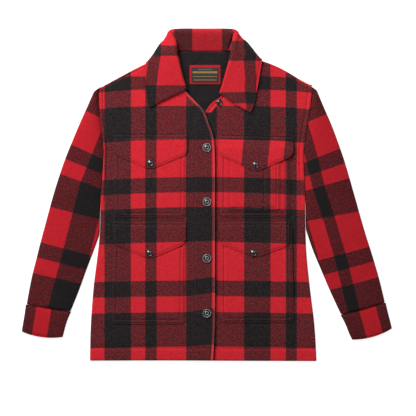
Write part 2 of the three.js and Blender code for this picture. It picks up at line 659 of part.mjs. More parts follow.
function addBody() {
  addPiece("back", backGeometry(), wool);
  addPiece("right_front", frontGeometry(RIGHT_FRONT, -1, RIGHT_ACROSS), wool);
  addPiece("left_front", frontGeometry(LEFT_FRONT, 1, LEFT_ACROSS), wool);
  addPiece("right_sleeve", sleeveGeometry(RIGHT_FRONT, -1, RIGHT_SLEEVE_TOP, RIGHT_SLEEVE_LOW), wool);
  addPiece("left_sleeve", sleeveGeometry(LEFT_FRONT, 1, LEFT_SLEEVE_TOP, LEFT_SLEEVE_LOW), wool);
  addPiece("right_cuff", cuffGeometry(RIGHT_SLEEVE_LOW, RIGHT_CUFF), darkWool);
  addPiece("left_cuff", cuffGeometry(LEFT_SLEEVE_LOW, LEFT_CUFF), darkWool);
  addPiece("collar", collarGeometry(), wool);
}

function addNeck() {
  const patchUp = LINING_GAP + LINING + SEAM;
  const labelUp = patchUp + LABEL_PATCH.cloth + SEAM;
  addPiece("neck_lining", neckSheetGeometry(NECK_LINING, LINING_GAP, LINING, 6, 9), lining);
  addPiece("label_patch", neckSheetGeometry(LABEL_PATCH, patchUp, LABEL_PATCH.cloth, 3, 3), labelCloth);
  addPiece("label", neckSheetGeometry(LABEL, labelUp, LABEL.cloth, 3, 3), lining);
}

function addPocketsAndFlaps() {
  for (const pocket of POCKETS) addPiece(pocket.name, pocketGeometry(pocket), wool);
  for (const flap of FLAPS) {
    addPiece(flap.name, flapGeometry(flap), darkWool);
    const [x, y] = flap.button;
    const seat = frontTop(x, y) + flapLift(flap, x, y) + PATCH_CLOTH + SEAM;
    addPiece(`${flap.name}_button`, buttonGeometry(FLAP_BUTTON_RADIUS), blackPlastic, x, y, seat);
  }
}

function addFrontButtons() {
  FRONT_BUTTON_Y.forEach((y, i) => {
    const seat = frontTop(FRONT_BUTTON_X, y, true) + SEAM;
    addPiece(`front_button_${i + 1}`, buttonGeometry(BUTTON_RADIUS), blackPlastic, FRONT_BUTTON_X, y, seat);
  });
  const [x, y] = COLLAR_BUTTON;
  addPiece("collar_button", buttonGeometry(FLAP_BUTTON_RADIUS), blackPlastic, x, y, frontTop(x, y) + SEAM);
}

addBody();
addNeck();
addPocketsAndFlaps();
addFrontButtons();

// The origin is the middle of the bounding box's bottom.
const bounds = new THREE.Box3().setFromObject(jacket);
const centre = bounds.getCenter(new THREE.Vector3());
jacket.position.set(-centre.x, -centre.y, -bounds.min.z);

export default jacket;
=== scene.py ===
"""A red and black plaid wool mackinaw jacket, laid out flat and seen from straight above.

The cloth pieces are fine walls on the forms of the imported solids. Sizes are in millimetres of the drawing
frame, whose X runs across the jacket and Y from the hem to the collar. Points go to the row frame in
metres at the end. "right" and "left" are the wearer's.
"""
import math

import bpy
import numpy as np
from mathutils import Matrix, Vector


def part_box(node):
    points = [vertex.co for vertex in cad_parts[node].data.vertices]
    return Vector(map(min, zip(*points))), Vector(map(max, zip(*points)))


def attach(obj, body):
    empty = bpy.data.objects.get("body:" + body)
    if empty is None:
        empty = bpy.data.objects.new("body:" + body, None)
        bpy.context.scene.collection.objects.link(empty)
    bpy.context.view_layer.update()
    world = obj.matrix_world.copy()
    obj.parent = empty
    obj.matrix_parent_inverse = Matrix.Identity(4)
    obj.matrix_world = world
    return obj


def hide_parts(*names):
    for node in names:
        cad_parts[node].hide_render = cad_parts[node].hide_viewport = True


MM = 0.001

# Cloth, seams and the flattened body and sleeves
CLOTH = 3.0
SEAM = 0.3
HEIGHT = 8.4
MIDDLE = HEIGHT / 2
ROLL = HEIGHT / 2
INNER_ROLL = ROLL - CLOTH
SHOULDER_SLOPE = math.radians(26.6)
RIGHT_SHOULDER_BOW = 1.5
LEFT_SHOULDER_BOW = 7.0
LAP_RISE = CLOTH + SEAM
LAP_X = (-38, -18)
COLLAR_CLOTH = 4.5
NECK_RISE = COLLAR_CLOTH + SEAM
NECK_RISE_Y = (225, 305)
NECK_RISE_X = (118, 225)
CUFF_CLOTH = 3.8
CUFF_HEIGHT = 10.0
CUFF_BOW = 7.0
CUFF_FLARE = 1.5

# Patch pockets and flaps
PATCH_CLOTH = 2.7
POCKET_CORNER = 10.0
FLAP_CORNER = 12.0
PATCH_RISE = PATCH_CLOTH + SEAM
FLAP_SLOPE = 11.0
ENTRY_LIFT = 2.5
ENTRY_WIDTH = 30.0
ENTRY_Y = (-262, -225, -70, -52)

# Sewing: how far a line of stitches pulls the cloth in and how wide the dip is, the stitches, and how far
# in from an edge the lines run
DIP = 1.7
DIP_WIDTH = 1.9
STITCH_PITCH = 4.2
STITCH_LENGTH = 3.4
STITCH_RADIUS = 0.4
EDGE_LINE = 3.0
SECOND_LINE = 10.5
OPENING_LINE = 6.0
ARMHOLE_LINE = 9.0
PLACKET_LINES = (-27.0, -20.0)
PLACKET_TOP = 196.0
HEM_LINE = 28.0
SHOULDER_STRIP = 6.5
SHOULDER_V = -20.0
PEN_DIVIDER = 138.7

# Neck lining and label
LINING_GAP = 0.6
LINING = 1.0
NECK_LINING = {"x": (-76, 72), "y": (150, 327.6)}
LABEL_PATCH = {"x": (-32, 41), "y": (252, 297), "cloth": 1.0}
LABEL = {"x": (-28, 35), "y": (257, 292), "cloth": 0.6}

# Fronts: side edge x, y, then opening edge x, y. The rows go from the hem to the shoulder.
RIGHT_FRONT = (
    (-261, -381.5, 22, -380.8),
    (-259, -300, 26, -305),
    (-252.8, -215, 26.4, -222),
    (-244.8, -150, 26.4, -155),
    (-238.5, -93, 26.4, -93),
    (-236.3, -20, 26.4, -25),
    (-232, 45, 26.4, 35),
    (-229, 100, 26.2, 88),
    (-232.5, 135, 22.8, 130),
    (-236.5, 165, 12.6, 162),
    (-238.3, 190, 0.2, 193),
    (-239.3, 213, -22.8, 217.6),
    (-239.8, 226, -45, 243),
    (-240, 236, -67, 287),
    (-240, 246.5, -84, 324),
)
LEFT_FRONT = (
    (260, -382.5, -12, -381.5),
    (255, -300, -12, -305),
    (244.7, -215, -12, -222),
    (237, -140, -12, -155),
    (234.3, -79, -12, -93),
    (233.5, -15, -12, -25),
    (231, 45, -12, 35),
    (230, 100, -12, 88),
    (234.5, 135, -11, 130),
    (239.5, 165, -6.5, 160),
    (243.5, 190, 2, 186),
    (246.5, 212, 19.6, 211),
    (248, 226, 41, 228),
    (249.5, 238, 65, 283),
    (250, 252, 84, 324),
)
UNDERARM = 4
TOP_LEVEL = len(RIGHT_FRONT) - 1
BACK_NECK_Y = 329.0
BACK_NECK_U = (0.34, 0.66)

# Upper sleeves: armhole y, then overarm edge x, y. The rows go from the cap to the underarm.
RIGHT_SLEEVE_TOP = (
    (242, -252.5, 235),
    (190, -266.8, 202.5),
    (145, -282.8, 167),
    (100, -298, 131),
    (40, -320.8, 74),
    (-30, -343.5, 4.4),
    (-93, -361.7, -62),
)
LEFT_SLEEVE_TOP = (
    (245, 261, 238),
    (190, 275.5, 203),
    (145, 291.3, 167),
    (100, 305.2, 131),
    (45, 324, 77),
    (-15, 343, 12),
    (-79, 361, -52),
)
# Lower sleeves: underarm edge x, y, then overarm edge x, y. The rows go from the underarm to the cuff.
RIGHT_SLEEVE_LOW = (
    (-251.5, -128, -371.2, -97),
    (-268, -171, -382.6, -142),
    (-285, -218, -395.7, -195),
    (-305, -268, -406.3, -252),
)
LEFT_SLEEVE_LOW = (
    (249.6, -124, 372.8, -92),
    (269.5, -172, 388, -140),
    (290.8, -222, 403.2, -192),
    (316, -276, 416.9, -248),
)
# Cuffs below their seams, in the same columns
RIGHT_CUFF = (
    (-313, -290, -411, -274),
    (-319.5, -313, -415, -298),
    (-323, -327, -417.5, -314),
)
LEFT_CUFF = (
    (325.5, -297, 423.3, -269),
    (334.2, -319, 429.5, -293),
    (341, -333, 432.8, -307),
)

# The collar's sections, at the middle of its cloth: neck seam x, y, h, roll line x, y, h, half way down the
# fall x, y, h, outer edge x, y, h, and the roll's radius. h is the height over the neck's rise.
COLLAR = (
    (-41, 242.2, 8, -37.8, 240.4, 11.1, -78, 223, 12.6, -116.5, 203, 11, 3),
    (-50, 256, 7.9, -45, 258, 11.2, -86, 238, 13, -126.5, 206, 11.1, 3),
    (-60, 277, 7.8, -51.5, 281, 12.2, -93, 263, 13.6, -131.5, 247, 11.1, 3.4),
    (-71, 302, 7.9, -56.5, 304, 14, -99, 291, 14.2, -133, 276, 11.1, 4),
    (-80.5, 320, 8, -60.5, 321, 16, -102, 306, 14.6, -134, 292, 11, 4.5),
    (-73, 328.4, 5.5, -62, 335, 17.5, -104.5, 323, 13.4, -129, 303, 8.8, 4.8),
    (-63, 329.4, 3, -66, 354, 15.5, -96, 348, 5, -116, 311, -2.4, 5),
    (-54, 329.4, 2.4, -76, 374, 9.5, -94, 343, -2.2, -113, 310.5, -2.55, 5.4),
    (-38, 329.4, 2.4, -53, 378.8, 4.8, -64, 344, -2.55, -78, 311, -2.55, 6),
    (-13, 329.4, 2.4, -17, 378.8, 4.8, -21, 344, -2.55, -25, 311, -2.55, 6),
    (13, 329.4, 2.4, 17, 378.8, 4.8, 21, 344, -2.55, 25, 311, -2.55, 6),
    (38, 329.4, 2.4, 50, 378.8, 4.8, 62, 344, -2.55, 78, 311, -2.55, 6),
    (54, 329.4, 2.4, 73, 375, 9.5, 94, 345, -2.2, 113, 310.5, -2.55, 5.4),
    (63, 329.4, 3, 70, 356, 15.5, 97.5, 350, 5, 124, 311, -2.4, 5),
    (73, 328.4, 5.5, 67, 336, 17.5, 106, 327, 13.6, 133.5, 307, 11.2, 4.8),
    (80.5, 320, 8, 63.5, 321, 16, 101, 307, 14.6, 132, 292, 11, 4.5),
    (71, 302, 7.9, 59, 303, 14, 98, 289, 14.2, 129, 274, 11.1, 4),
    (61, 277, 7.8, 52, 278, 12.2, 90, 261, 13.6, 123.5, 243, 11.1, 3.4),
    (47.5, 246, 7.9, 43, 247, 11.2, 82, 229, 13, 118, 211, 11.1, 3),
    (40.5, 230.5, 7.9, 36.8, 230.5, 11, 70, 208.5, 12.6, 108.5, 187.5, 11, 3),
)
ROLL_STRETCH = 0.02

# Patch pockets: x of both sides at the bottom and at the mouth, bottom and mouth y. entry is the side of a
# hip pocket that stays open for the hand, and lift is what lies beneath.
POCKETS = {
    "right_chest_pocket": {"bottom": (-206, -40), "mouth": (-206, -40), "y": (-53.8, 126)},
    "left_chest_pocket": {"bottom": (35.7, 199), "mouth": (35.7, 199), "y": (-53.8, 123)},
    "right_hip_pocket": {"bottom": (-212.3, -43), "mouth": (-206.5, -40.3), "y": (-298.3, -72),
                         "entry": -1},
    "left_hip_pocket": {"bottom": (36.3, 207.9), "mouth": (36.3, 203.6), "y": (-294.5, -72),
                        "entry": 1},
    "pen_pocket": {"bottom": (52, 176), "mouth": (52, 176), "y": (-38.4, 100), "lift": PATCH_RISE,
                   "lines": (2.5, 8)},
}
# Flaps: x of both ends, y of the top edge and of the lower corners at both ends, the point, and the button.
# pen is the y range over which a flap climbs the pen pocket, and lean how far its plaid's columns lean
# over.
FLAPS = {
    "right_chest_flap": {"x": (-208, -36.6), "top": (139.4, 139.4), "side": (93, 93), "point": (-122, 56.6),
                         "button": (-122, 72.7)},
    "left_chest_flap": {"x": (34.7, 205.6), "top": (137, 133.2), "side": (93, 89), "point": (119.6, 51.5),
                        "button": (119.4, 68.1), "pen": (105, 118), "lean": 0.1},
    "right_hip_flap": {"x": (-207.7, -40.7), "top": (-59.6, -59.6), "side": (-112.7, -112.7),
                       "point": (-122, -148), "button": (-124.4, -133.9), "entry": -1},
    "left_hip_flap": {"x": (35, 197.6), "top": (-59.6, -59.6), "side": (-112, -116), "point": (122, -144.7),
                      "button": (114.3, -133.6), "entry": 1},
}
FRONT_BUTTONS = {f"front_button_{i + 1}": (7.8, y) for i, y in enumerate((107.9, -16.6, -146, -271.9))}
COLLAR_BUTTON = (36.5, 211.5)
BUTTON_RADIUS = 10.0
FLAP_BUTTON_RADIUS = 7.5

# The plaid's stripes, in order: width and whether the yarn is black. Columns run across and rows from the
# top down.
COLUMN_STRIPES = ((61, True), (33, False), (25.5, True), (69, False))
ROW_STRIPES = ((35.5, True), (36, False), (79.5, True), (88, False))
COLUMN_REPEAT = sum(width for width, _ in COLUMN_STRIPES)
ROW_REPEAT = sum(width for width, _ in ROW_STRIPES)


def stripe_edges(stripes, count, first=0):
    """Where count stripes start and end along the cloth, the first being the one named."""
    edges = [sum(width for width, _ in stripes[:first])]
    for i in range(count):
        edges.append(edges[-1] + stripes[(first + i) % len(stripes)][0])
    return np.array(edges, float)


def lerp(a, b, t):
    return a + (b - a) * t


def smooth(value, low, high):
    t = np.clip((np.asarray(value, float) - low) / (high - low), 0, 1)
    return t * t * (3 - 2 * t)


def along(table, t):
    """A smooth curve through a table's rows, at t from 0 to 1, with every column read as one coordinate."""
    rows = np.asarray(table, float)
    place = np.clip(np.asarray(t, float), 0, 1) * (len(rows) - 1)
    start = np.minimum(place.astype(int), len(rows) - 2)
    part = (place - start)[..., None]
    a, b, c, d = (rows[np.clip(start + k, 0, len(rows) - 1)] for k in (-1, 0, 1, 2))
    square = 2 * a - 5 * b + 4 * c - d
    cube = 3 * b - a - 3 * c + d
    return b + part * (c - a + part * (square + part * cube)) / 2


def stretched(value, places, positions):
    """Piecewise linear from places to positions, running on at slope 1 past both ends."""
    value = np.asarray(value, float)
    inside = np.interp(value, places, positions)
    before = np.minimum(value - places[0], 0)
    after = np.maximum(value - places[-1], 0)
    return inside + before + after


def joined(*arrays):
    return np.concatenate([np.atleast_1d(np.asarray(array, float)) for array in arrays])


# Creases: start x, y, end x, y, half width and height, which is below 0 in a trough
BODY_CREASES = (
    (-236, -70, -190, -20, 12, -1.2),
    (-232, 20, -205, 70, 10, -0.9),
    (232, -70, 196, -20, 12, -1.2),
    (228, 25, 204, 74, 10, -0.9),
    (-215, -330, -120, -352, 14, 0.8),
    (120, -345, 210, -325, 14, 0.8),
    (-150, 180, -60, 215, 16, 0.8),
    (60, 180, 150, 200, 16, 0.7),
    (-18, -330, 20, -205, 7, -0.6),
    (-232, -190, -222, -300, 11, -0.8),
    (230, -180, 224, -290, 11, -0.8),
)


# How far a crease bends, as a share of its length, and the shares of it before and after its end that it
# fades over
CREASE_BEND = 0.12
CREASE_FADE = (0.3, 0.15)
# The y over which the fronts' slow waves and creases end below the neck, and the waves' height and lengths
RELIEF_END_Y = (150, 195)
WAVE_HEIGHT = 0.45
WAVE_LENGTHS = (47, 83, 71)


def swell(distance, height, width):
    """A soft swell of some height, at a distance from its middle."""
    return height * np.exp(-((distance / width) ** 2))


def crease_height(creases, x, y):
    """The sum of soft troughs and ridges that fade out towards both ends."""
    before, after = CREASE_FADE
    height = np.zeros(np.shape(x))
    for start_x, start_y, end_x, end_y, width, depth in creases:
        run = np.array([end_x - start_x, end_y - start_y], float)
        length = math.hypot(*run)
        across, down = run / length
        s = ((x - start_x) * across + (y - start_y) * down) / length
        d = -(x - start_x) * down + (y - start_y) * across
        bend = CREASE_BEND * length * np.sin(np.clip(s, 0, 1) * math.pi)
        fade = smooth(s, -after, before) * (1 - smooth(s, 1 - before, 1 + after))
        height += fade * swell(d - bend, depth, width)
    return height


def body_relief(x, y):
    """How far the fronts and what lies on them swell and sink."""
    low = 1 - smooth(y, *RELIEF_END_Y)
    across, down, turn = WAVE_LENGTHS
    wave = WAVE_HEIGHT * np.sin(x / across + 0.6 * np.sin(y / down)) * np.sin(y / turn + 1.1)
    return low * (wave + crease_height(BODY_CREASES, x, y))


def dip(distance):
    """How far the cloth sinks at a distance from a line of stitches."""
    return swell(distance, DIP, DIP_WIDTH)


def distance_to(line, x, y):
    """The distance of places from a line of x, y points."""
    start, run = line[:-1], np.diff(line, axis=0)
    dx, dy = np.asarray(x)[..., None] - start[:, 0], np.asarray(y)[..., None] - start[:, 1]
    part = np.clip((dx * run[:, 0] + dy * run[:, 1]) / (run ** 2).sum(1), 0, 1)
    return np.hypot(dx - part * run[:, 0], dy - part * run[:, 1]).min(-1)


def neck_rise(x, y):
    """How far the collar's back lifts the body at a place on the floor."""
    return NECK_RISE * smooth(y, *NECK_RISE_Y) * (1 - smooth(np.abs(x), *NECK_RISE_X))


def front_top(x, y, is_right=None):
    """The outer face of a front, which laps up where it is the right one."""
    is_right = np.asarray(x) < 0 if is_right is None else is_right
    lap = np.where(is_right, LAP_RISE * smooth(x, *LAP_X), 0)
    return HEIGHT + neck_rise(x, y) + lap + body_relief(x, y)


# Cloth coordinates of the plaid, in millimetres: u counts the columns and v the rows

# Column edges on the right front and back, from the wide black column by the side, and on the left front,
# from the wide red column by the opening
RIGHT_COLUMNS = (-227.2, -166.5, -133.4, -107.4, -39.6, 19)
LEFT_COLUMNS = (30.5, 93, 153.5, 189, 214)
# Row edges on the body, from the short black row over the chest pockets down to the hem
BODY_ROWS = (271.9, 241.7, 203.1, 125.8, 40.3, 5.5, -28.5, -108.6, -196.9, -232.8, -269.6, -348.5)


def row_v(y):
    edges = stripe_edges(ROW_STRIPES, len(BODY_ROWS) - 1)
    return stretched(-y, [-place for place in BODY_ROWS], edges)


# How much lower a row lies at the sides near the hem, further up and at the shoulders, the x where that is
# so, and the y between these three
HEM_DROOP = 3.5
SIDE_DROOP = 8.0
SHOULDER_DROOP = 7.5
DROOP_X = 240
SIDE_DROOP_Y = (-230, -20)
SHOULDER_DROOP_Y = (60, 190)
# How much higher a row lies at the right front's opening, the x and the distance down over which it rises,
# and the distance down over which half of that is lost again
PLACKET_RISE = 8.0
RISE_X = (-45, 23)
RISE_DOWN = (40, 210)
RISE_LOSS_DOWN = (280, 370)


def droop(x, y):
    """How much lower a row lies towards the sides and the shoulders."""
    share = np.clip(np.abs(x) / DROOP_X, 0, 1.1)
    low = lerp(HEM_DROOP * share ** 2, SIDE_DROOP * share ** 2, smooth(y, *SIDE_DROOP_Y))
    return lerp(low, SHOULDER_DROOP * share ** 4, smooth(y, *SHOULDER_DROOP_Y))


def placket_rise(x, y):
    """How much higher a row lies at the right front's opening, where the placket's cloth slants."""
    down = -np.asarray(y)
    share = smooth(down, *RISE_DOWN) * (1 - 0.5 * smooth(down, *RISE_LOSS_DOWN))
    return PLACKET_RISE * smooth(x, *RISE_X) * share


def right_uv(x, y):
    u = stretched(x, RIGHT_COLUMNS, stripe_edges(COLUMN_STRIPES, len(RIGHT_COLUMNS) - 1))
    return np.stack([u, row_v(y + droop(x, y) - placket_rise(x, y))], -1)


def left_uv(x, y):
    """The left front's plaid, whose columns are red along the right front's edge up to the chest."""
    x = np.where(y < BODY_ROWS[3], np.maximum(x, LEFT_COLUMNS[0] + 0.5), x)
    u = stretched(x, LEFT_COLUMNS, stripe_edges(COLUMN_STRIPES, len(LEFT_COLUMNS) - 1, first=3))
    return np.stack([u, row_v(y + droop(x, y))], -1)


# The x up to which the body's plaid is the right front's
OVER_FRONT_X = 23


def body_uv(x, y):
    return np.where(np.asarray(x)[..., None] < OVER_FRONT_X, right_uv(x, y), left_uv(x, y))


def leaning_uv(flap, x, y):
    """The plaid of a flap, whose columns lean over from its top edge down."""
    uv = body_uv(x, y)
    uv[..., 0] += flap.get("lean", 0) * (flap["top"][0] - y)
    return uv


# Meshes

def drawing_shift():
    """From the drawing frame to the row frame, worked out from the first front button."""
    low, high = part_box("front_button_1")
    x, y = FRONT_BUTTONS["front_button_1"]
    return np.array([(low[0] + high[0]) / 2 / MM - x, (low[1] + high[1]) / 2 / MM - y, 0.0])


def in_row_frame(points):
    return (np.asarray(points, float) + SHIFT) * MM


def grid_quads(rows, columns, offset, is_ring=False):
    """Corner indexes of a grid's faces, in order round each."""
    spans = columns if is_ring else columns - 1
    row, column = np.meshgrid(np.arange(rows - 1), np.arange(spans), indexing="ij")
    after = (column + 1) % columns
    corners = [(row, column), (row, after), (row + 1, after), (row + 1, column)]
    return np.stack([offset + r * columns + c for r, c in corners], -1).reshape(-1, 4)


def wall_faces(rows, columns, uv_columns, is_ring):
    """The faces of a closed wall between two grids, and the same faces on the grid of its UV maps."""
    count = rows * columns
    faces = [grid_quads(rows, columns, 0, is_ring), grid_quads(rows, columns, count, is_ring)[:, ::-1]]
    face_uv = [grid_quads(rows, uv_columns, 0), grid_quads(rows, uv_columns, 0)[:, ::-1]]

    def rim(row_a, column_a, row_b, column_b):
        a = row_a * columns + column_a % columns
        b = row_b * columns + column_b % columns
        faces.append(np.stack([a, a + count, b + count, b], -1))
        uv_a = row_a * uv_columns + column_a
        uv_b = row_b * uv_columns + column_b
        face_uv.append(np.stack([uv_a, uv_a, uv_b, uv_b], -1))

    spans = np.arange(columns if is_ring else columns - 1)
    zero = np.zeros_like(spans)
    rim(zero, spans, zero, spans + 1)
    rim(zero + rows - 1, spans + 1, zero + rows - 1, spans)
    if not is_ring:
        steps = np.arange(rows - 1)
        left = np.zeros_like(steps)
        rim(steps + 1, left, steps, left)
        rim(steps, left + columns - 1, steps + 1, left + columns - 1)
    return np.concatenate(faces), np.concatenate(face_uv)


def wall_mesh(name, outer, inner, maps, is_ring=False):
    """A closed wall between two grids of points that match row by row.

    maps has its UV maps by name, in millimetres, each with one more column on a ring.
    """
    faces, face_uv = wall_faces(*outer.shape[:2], maps["cloth"].shape[1], is_ring)
    points = in_row_frame(np.concatenate([outer.reshape(-1, 3), inner.reshape(-1, 3)]))
    if signed_volume(points, faces) < 0:
        faces, face_uv = faces[:, ::-1], face_uv[:, ::-1]
    mesh = bpy.data.meshes.new(name)
    mesh.from_pydata(points.tolist(), [], faces.tolist())
    for map_name, places in maps.items():
        layer = mesh.uv_layers.new(name=map_name)
        layer.data.foreach_set("uv", (places.reshape(-1, 2)[face_uv.reshape(-1)] * MM).ravel())
    mesh.shade_smooth()
    mesh.update()
    return mesh


def signed_volume(points, quads):
    a, b, c, d = (points[quads[:, k]] for k in range(4))
    return np.einsum("ij,ij->i", a, np.cross(b, c) + np.cross(c, d)).sum()


def add_object(name, mesh, material=None):
    obj = bpy.data.objects.new(name, mesh)
    bpy.context.scene.collection.objects.link(obj)
    if material:
        mesh.materials.append(material)
    return obj


def grid_area(grid, is_ring=False):
    """The area of a grid of points, in square metres."""
    points = grid.reshape(-1, 3) * MM
    a, b, c, d = (points[k] for k in grid_quads(*grid.shape[:2], 0, is_ring).T)
    cross = np.cross(c - a, d - b)
    return float(np.linalg.norm(cross, axis=1).sum() / 2)


def join_body(obj, slot, node=None):
    """Lets a piece ride on the one body and hides the node that it stands for. slot is not used."""
    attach(obj, "root")
    if node:
        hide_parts(node)


def cloth_piece(node, outer, inner, uv, material, flat, slot="plaid_wool", rests_on=(), is_ring=False,
                lines=(), edge=None):
    """A wall of cloth that stands for a CAD node, with rounded rims and lines of stitches.

    uv and edge are its UV maps, and flat its flat size in metres.
    """
    name = f"{node}_cloth"
    maps = {"cloth": uv} if edge is None else {"cloth": uv, "edge": edge}
    obj = add_object(name, wall_mesh(name, outer, inner, maps, is_ring), material)
    rounding = obj.modifiers.new("rounding", "SUBSURF")
    rounding.levels = 1
    rounding.render_levels = 1
    join_body(obj, slot, node)
    area = min(grid_area(outer, is_ring), 0.999 * flat[0] * flat[1])
    sewn = [add_stitches(f"{node}_stitches", lines)] if lines else []
    return obj


def place_of(grid):
    return grid[..., 0], grid[..., 1]


def on_surface(line, surface):
    """Points a millimetre apart along a line of x, y places, with the surface's height."""
    line = np.asarray(line, float)
    length = joined(0, np.cumsum(np.linalg.norm(np.diff(line, axis=0), axis=1)))
    place = np.linspace(0, length[-1], int(length[-1]) + 2)
    x, y = (np.interp(place, length, line[:, k]) for k in (0, 1))
    return np.stack([x, y, surface(x, y)], -1)


def stitch_ends(line):
    """Where each stitch along a line of points starts and ends."""
    length = joined(0, np.cumsum(np.linalg.norm(np.diff(line, axis=0), axis=1)))
    count = max(int(length[-1] / STITCH_PITCH), 1)
    middle = (np.arange(count) + 0.5) * length[-1] / count
    ends = [middle + side * STITCH_LENGTH / 2 for side in (-1, 1)]
    return [np.stack([np.interp(end, length, line[:, k]) for k in range(3)], -1) for end in ends]


# A stitch's rings: share along it, share of its radius, and height over the cloth in radii
STITCH_RINGS = ((0, 0.5, -0.7), (0.2, 1, 0.2), (0.8, 1, 0.2), (1, 0.5, -0.7))
STITCH_SIDES = 6


def stitch_mesh(name, start, end):
    """Short rounded bars of thread from start points to end points, as one mesh."""
    run = end - start
    run /= np.linalg.norm(run, axis=1, keepdims=True)
    side = np.cross(run, (0.0, 0.0, 1.0))
    side /= np.linalg.norm(side, axis=1, keepdims=True)
    over = np.cross(side, run)
    turn = np.arange(STITCH_SIDES) * 2 * math.pi / STITCH_SIDES
    rings = []
    for share, width, height in STITCH_RINGS:
        centre = lerp(start, end, share) + over * height * STITCH_RADIUS
        outwards = side[:, None] * np.cos(turn)[:, None] + over[:, None] * np.sin(turn)[:, None]
        rings.append(centre[:, None] + STITCH_RADIUS * width * outwards)
    points = np.stack(rings, 1)
    count = len(STITCH_RINGS) * STITCH_SIDES
    sides = grid_quads(len(STITCH_RINGS), STITCH_SIDES, 0, is_ring=True)
    first = np.arange(STITCH_SIDES)
    caps = np.stack([first, (count - STITCH_SIDES + first)[::-1]])
    offsets = (np.arange(len(points)) * count)[:, None, None]
    faces = (sides + offsets).reshape(-1, 4).tolist() + (caps + offsets).reshape(-1, STITCH_SIDES).tolist()
    mesh = bpy.data.meshes.new(name)
    mesh.from_pydata(in_row_frame(points.reshape(-1, 3)).tolist(), [], faces)
    mesh.shade_smooth()
    return mesh


def add_thread(name, start, end, material):
    obj = add_object(name, stitch_mesh(name, start, end), MATERIALS[material])
    join_body(obj, "seam_thread")
    return obj


def add_stitches(name, lines):
    """Every stitch along some lines of points."""
    ends = [stitch_ends(line) for line in lines]
    start, end = (np.concatenate([pair[k] for pair in ends]) for k in (0, 1))
    return add_thread(name, start, end, "thread")


# The body's panels

def edge_roll(angle, share):
    """How a layer meets the other one at a seam.

    It rolls round to the middle height, or ends flat where share is 0. angle is 0 at the seam and 90 past
    the roll. Gives the outer and inner faces' distance in and height up.
    """
    turn = np.radians(angle)
    cut = ROLL * turn / (math.pi / 2)
    outer = (lerp(cut, ROLL * (1 - np.cos(turn)), share),
             lerp(ROLL, np.maximum(SEAM / 2, ROLL * np.sin(turn)), share))
    inner = (lerp(cut, CLOTH + INNER_ROLL * (1 - np.cos(turn)), share),
             lerp(INNER_ROLL, np.maximum(SEAM / 2, INNER_ROLL * np.sin(turn)), share))
    return outer, inner


ROLL_STEPS = np.array([0, 15, 30, 45, 60, 75], float)
PAST_ROLL = 90.0
# Levels from the hem up, close together at the line of stitches along the hem and at the shoulder
HEM_LEVELS = joined(0, np.arange(0.12, 0.3, 0.06), np.arange(0.3, 0.43, 0.018))
SHOULDER_LEVELS = np.linspace(TOP_LEVEL - 1, TOP_LEVEL, 14)[1:]
LEVELS = joined(HEM_LEVELS, np.linspace(0.5, TOP_LEVEL - 1, 76), SHOULDER_LEVELS)


def seam_share(level):
    """1 where a side edge is a rolled side seam and 0 where it is the armhole."""
    return np.clip(UNDERARM + 1 - level, 0, 1)


def body_layer(near, far, top, columns, top_roll, top_out, layer, rise):
    """Outer and inner grids of a body layer, from its two edges at t, its upper edge at u and its columns.

    columns has u, the roll's angle and the outward side at each line of points.
    """
    u, angle, side = (np.array(column, float)[None, :] for column in columns)
    level = joined(LEVELS, np.full(len(ROLL_STEPS), TOP_LEVEL))[:, None]
    top_angle = joined(np.full(len(LEVELS), PAST_ROLL), ROLL_STEPS[::-1])[:, None]
    t = level / TOP_LEVEL
    near_edge, far_edge = near(t[:, 0])[:, None], far(t[:, 0])[:, None]
    top_edge = top(u[0])[None]
    bottom_edge = lerp(near_edge[:1], far_edge[:1], u[..., None])
    corners = lerp(bottom_edge, lerp(top_edge[:, :1], top_edge[:, -1:], u[..., None]), t[..., None])
    plan = lerp(bottom_edge, top_edge, t[..., None]) + lerp(near_edge, far_edge, u[..., None]) - corners
    at_side = edge_roll(angle, seam_share(level))
    at_top = edge_roll(top_angle, top_roll(u))
    out_x, out_y = top_out(u)
    grids = []
    for (side_in, side_up), (top_in, top_up) in zip(at_side, at_top):
        x = plan[..., 0] + side * (ROLL - side_in) + out_x * (ROLL - top_in)
        y = plan[..., 1] + out_y * (ROLL - top_in)
        up = np.minimum(side_up, top_up)
        grids.append(np.stack([x, y, MIDDLE + layer * up + rise(x, y)], -1))
    return grids


def drawn_in(edge, t, out, side):
    """The shoulder's upper edge is drawn in by the roll over the last levels of a side or neck edge."""
    share = smooth(t, 0.9, 1)
    return edge - np.stack([side * ROLL + share * out[0] * ROLL, share * out[1] * ROLL], -1)


def shoulder_out(side):
    return side * math.sin(SHOULDER_SLOPE), math.cos(SHOULDER_SLOPE)


def on_shoulder(start, end, part, side):
    """Places on a shoulder line between its two ends, which bows out in its middle."""
    bow = (LEFT_SHOULDER_BOW if side > 0 else RIGHT_SHOULDER_BOW) * np.sin(math.pi * part.clip(0, 1)) ** 2
    return lerp(start, end, part[:, None]) + bow[:, None] * np.array(shoulder_out(side))


def opening_line(table, inset=0.0):
    """A front's opening edge from the hem to the neck, or a line inset from it, as x, y."""
    edge = along(table, np.linspace(0, 1, 150))[:, 2:]
    run = np.gradient(edge, axis=0)
    run /= np.linalg.norm(run, axis=1, keepdims=True)
    inwards = -1 if table is RIGHT_FRONT else 1
    return edge + inset * inwards * np.stack([run[:, 1], -run[:, 0]], -1)


def armhole_line(table, inset):
    """A line on a front beside its armhole, from the underarm to the shoulder."""
    edge = along(table, np.linspace(UNDERARM + 1, TOP_LEVEL, 60) / TOP_LEVEL)[:, :2]
    side = -1 if table is RIGHT_FRONT else 1
    return edge - np.array([side * inset, 0])


def shoulder_line(table):
    """A front's shoulder edge, from the armhole to the neck."""
    side = -1 if table is RIGHT_FRONT else 1
    tip, neck = np.array(table[-1][:2], float), np.array(table[-1][2:], float)
    return on_shoulder(tip, neck, np.linspace(0, 1, 40), side)


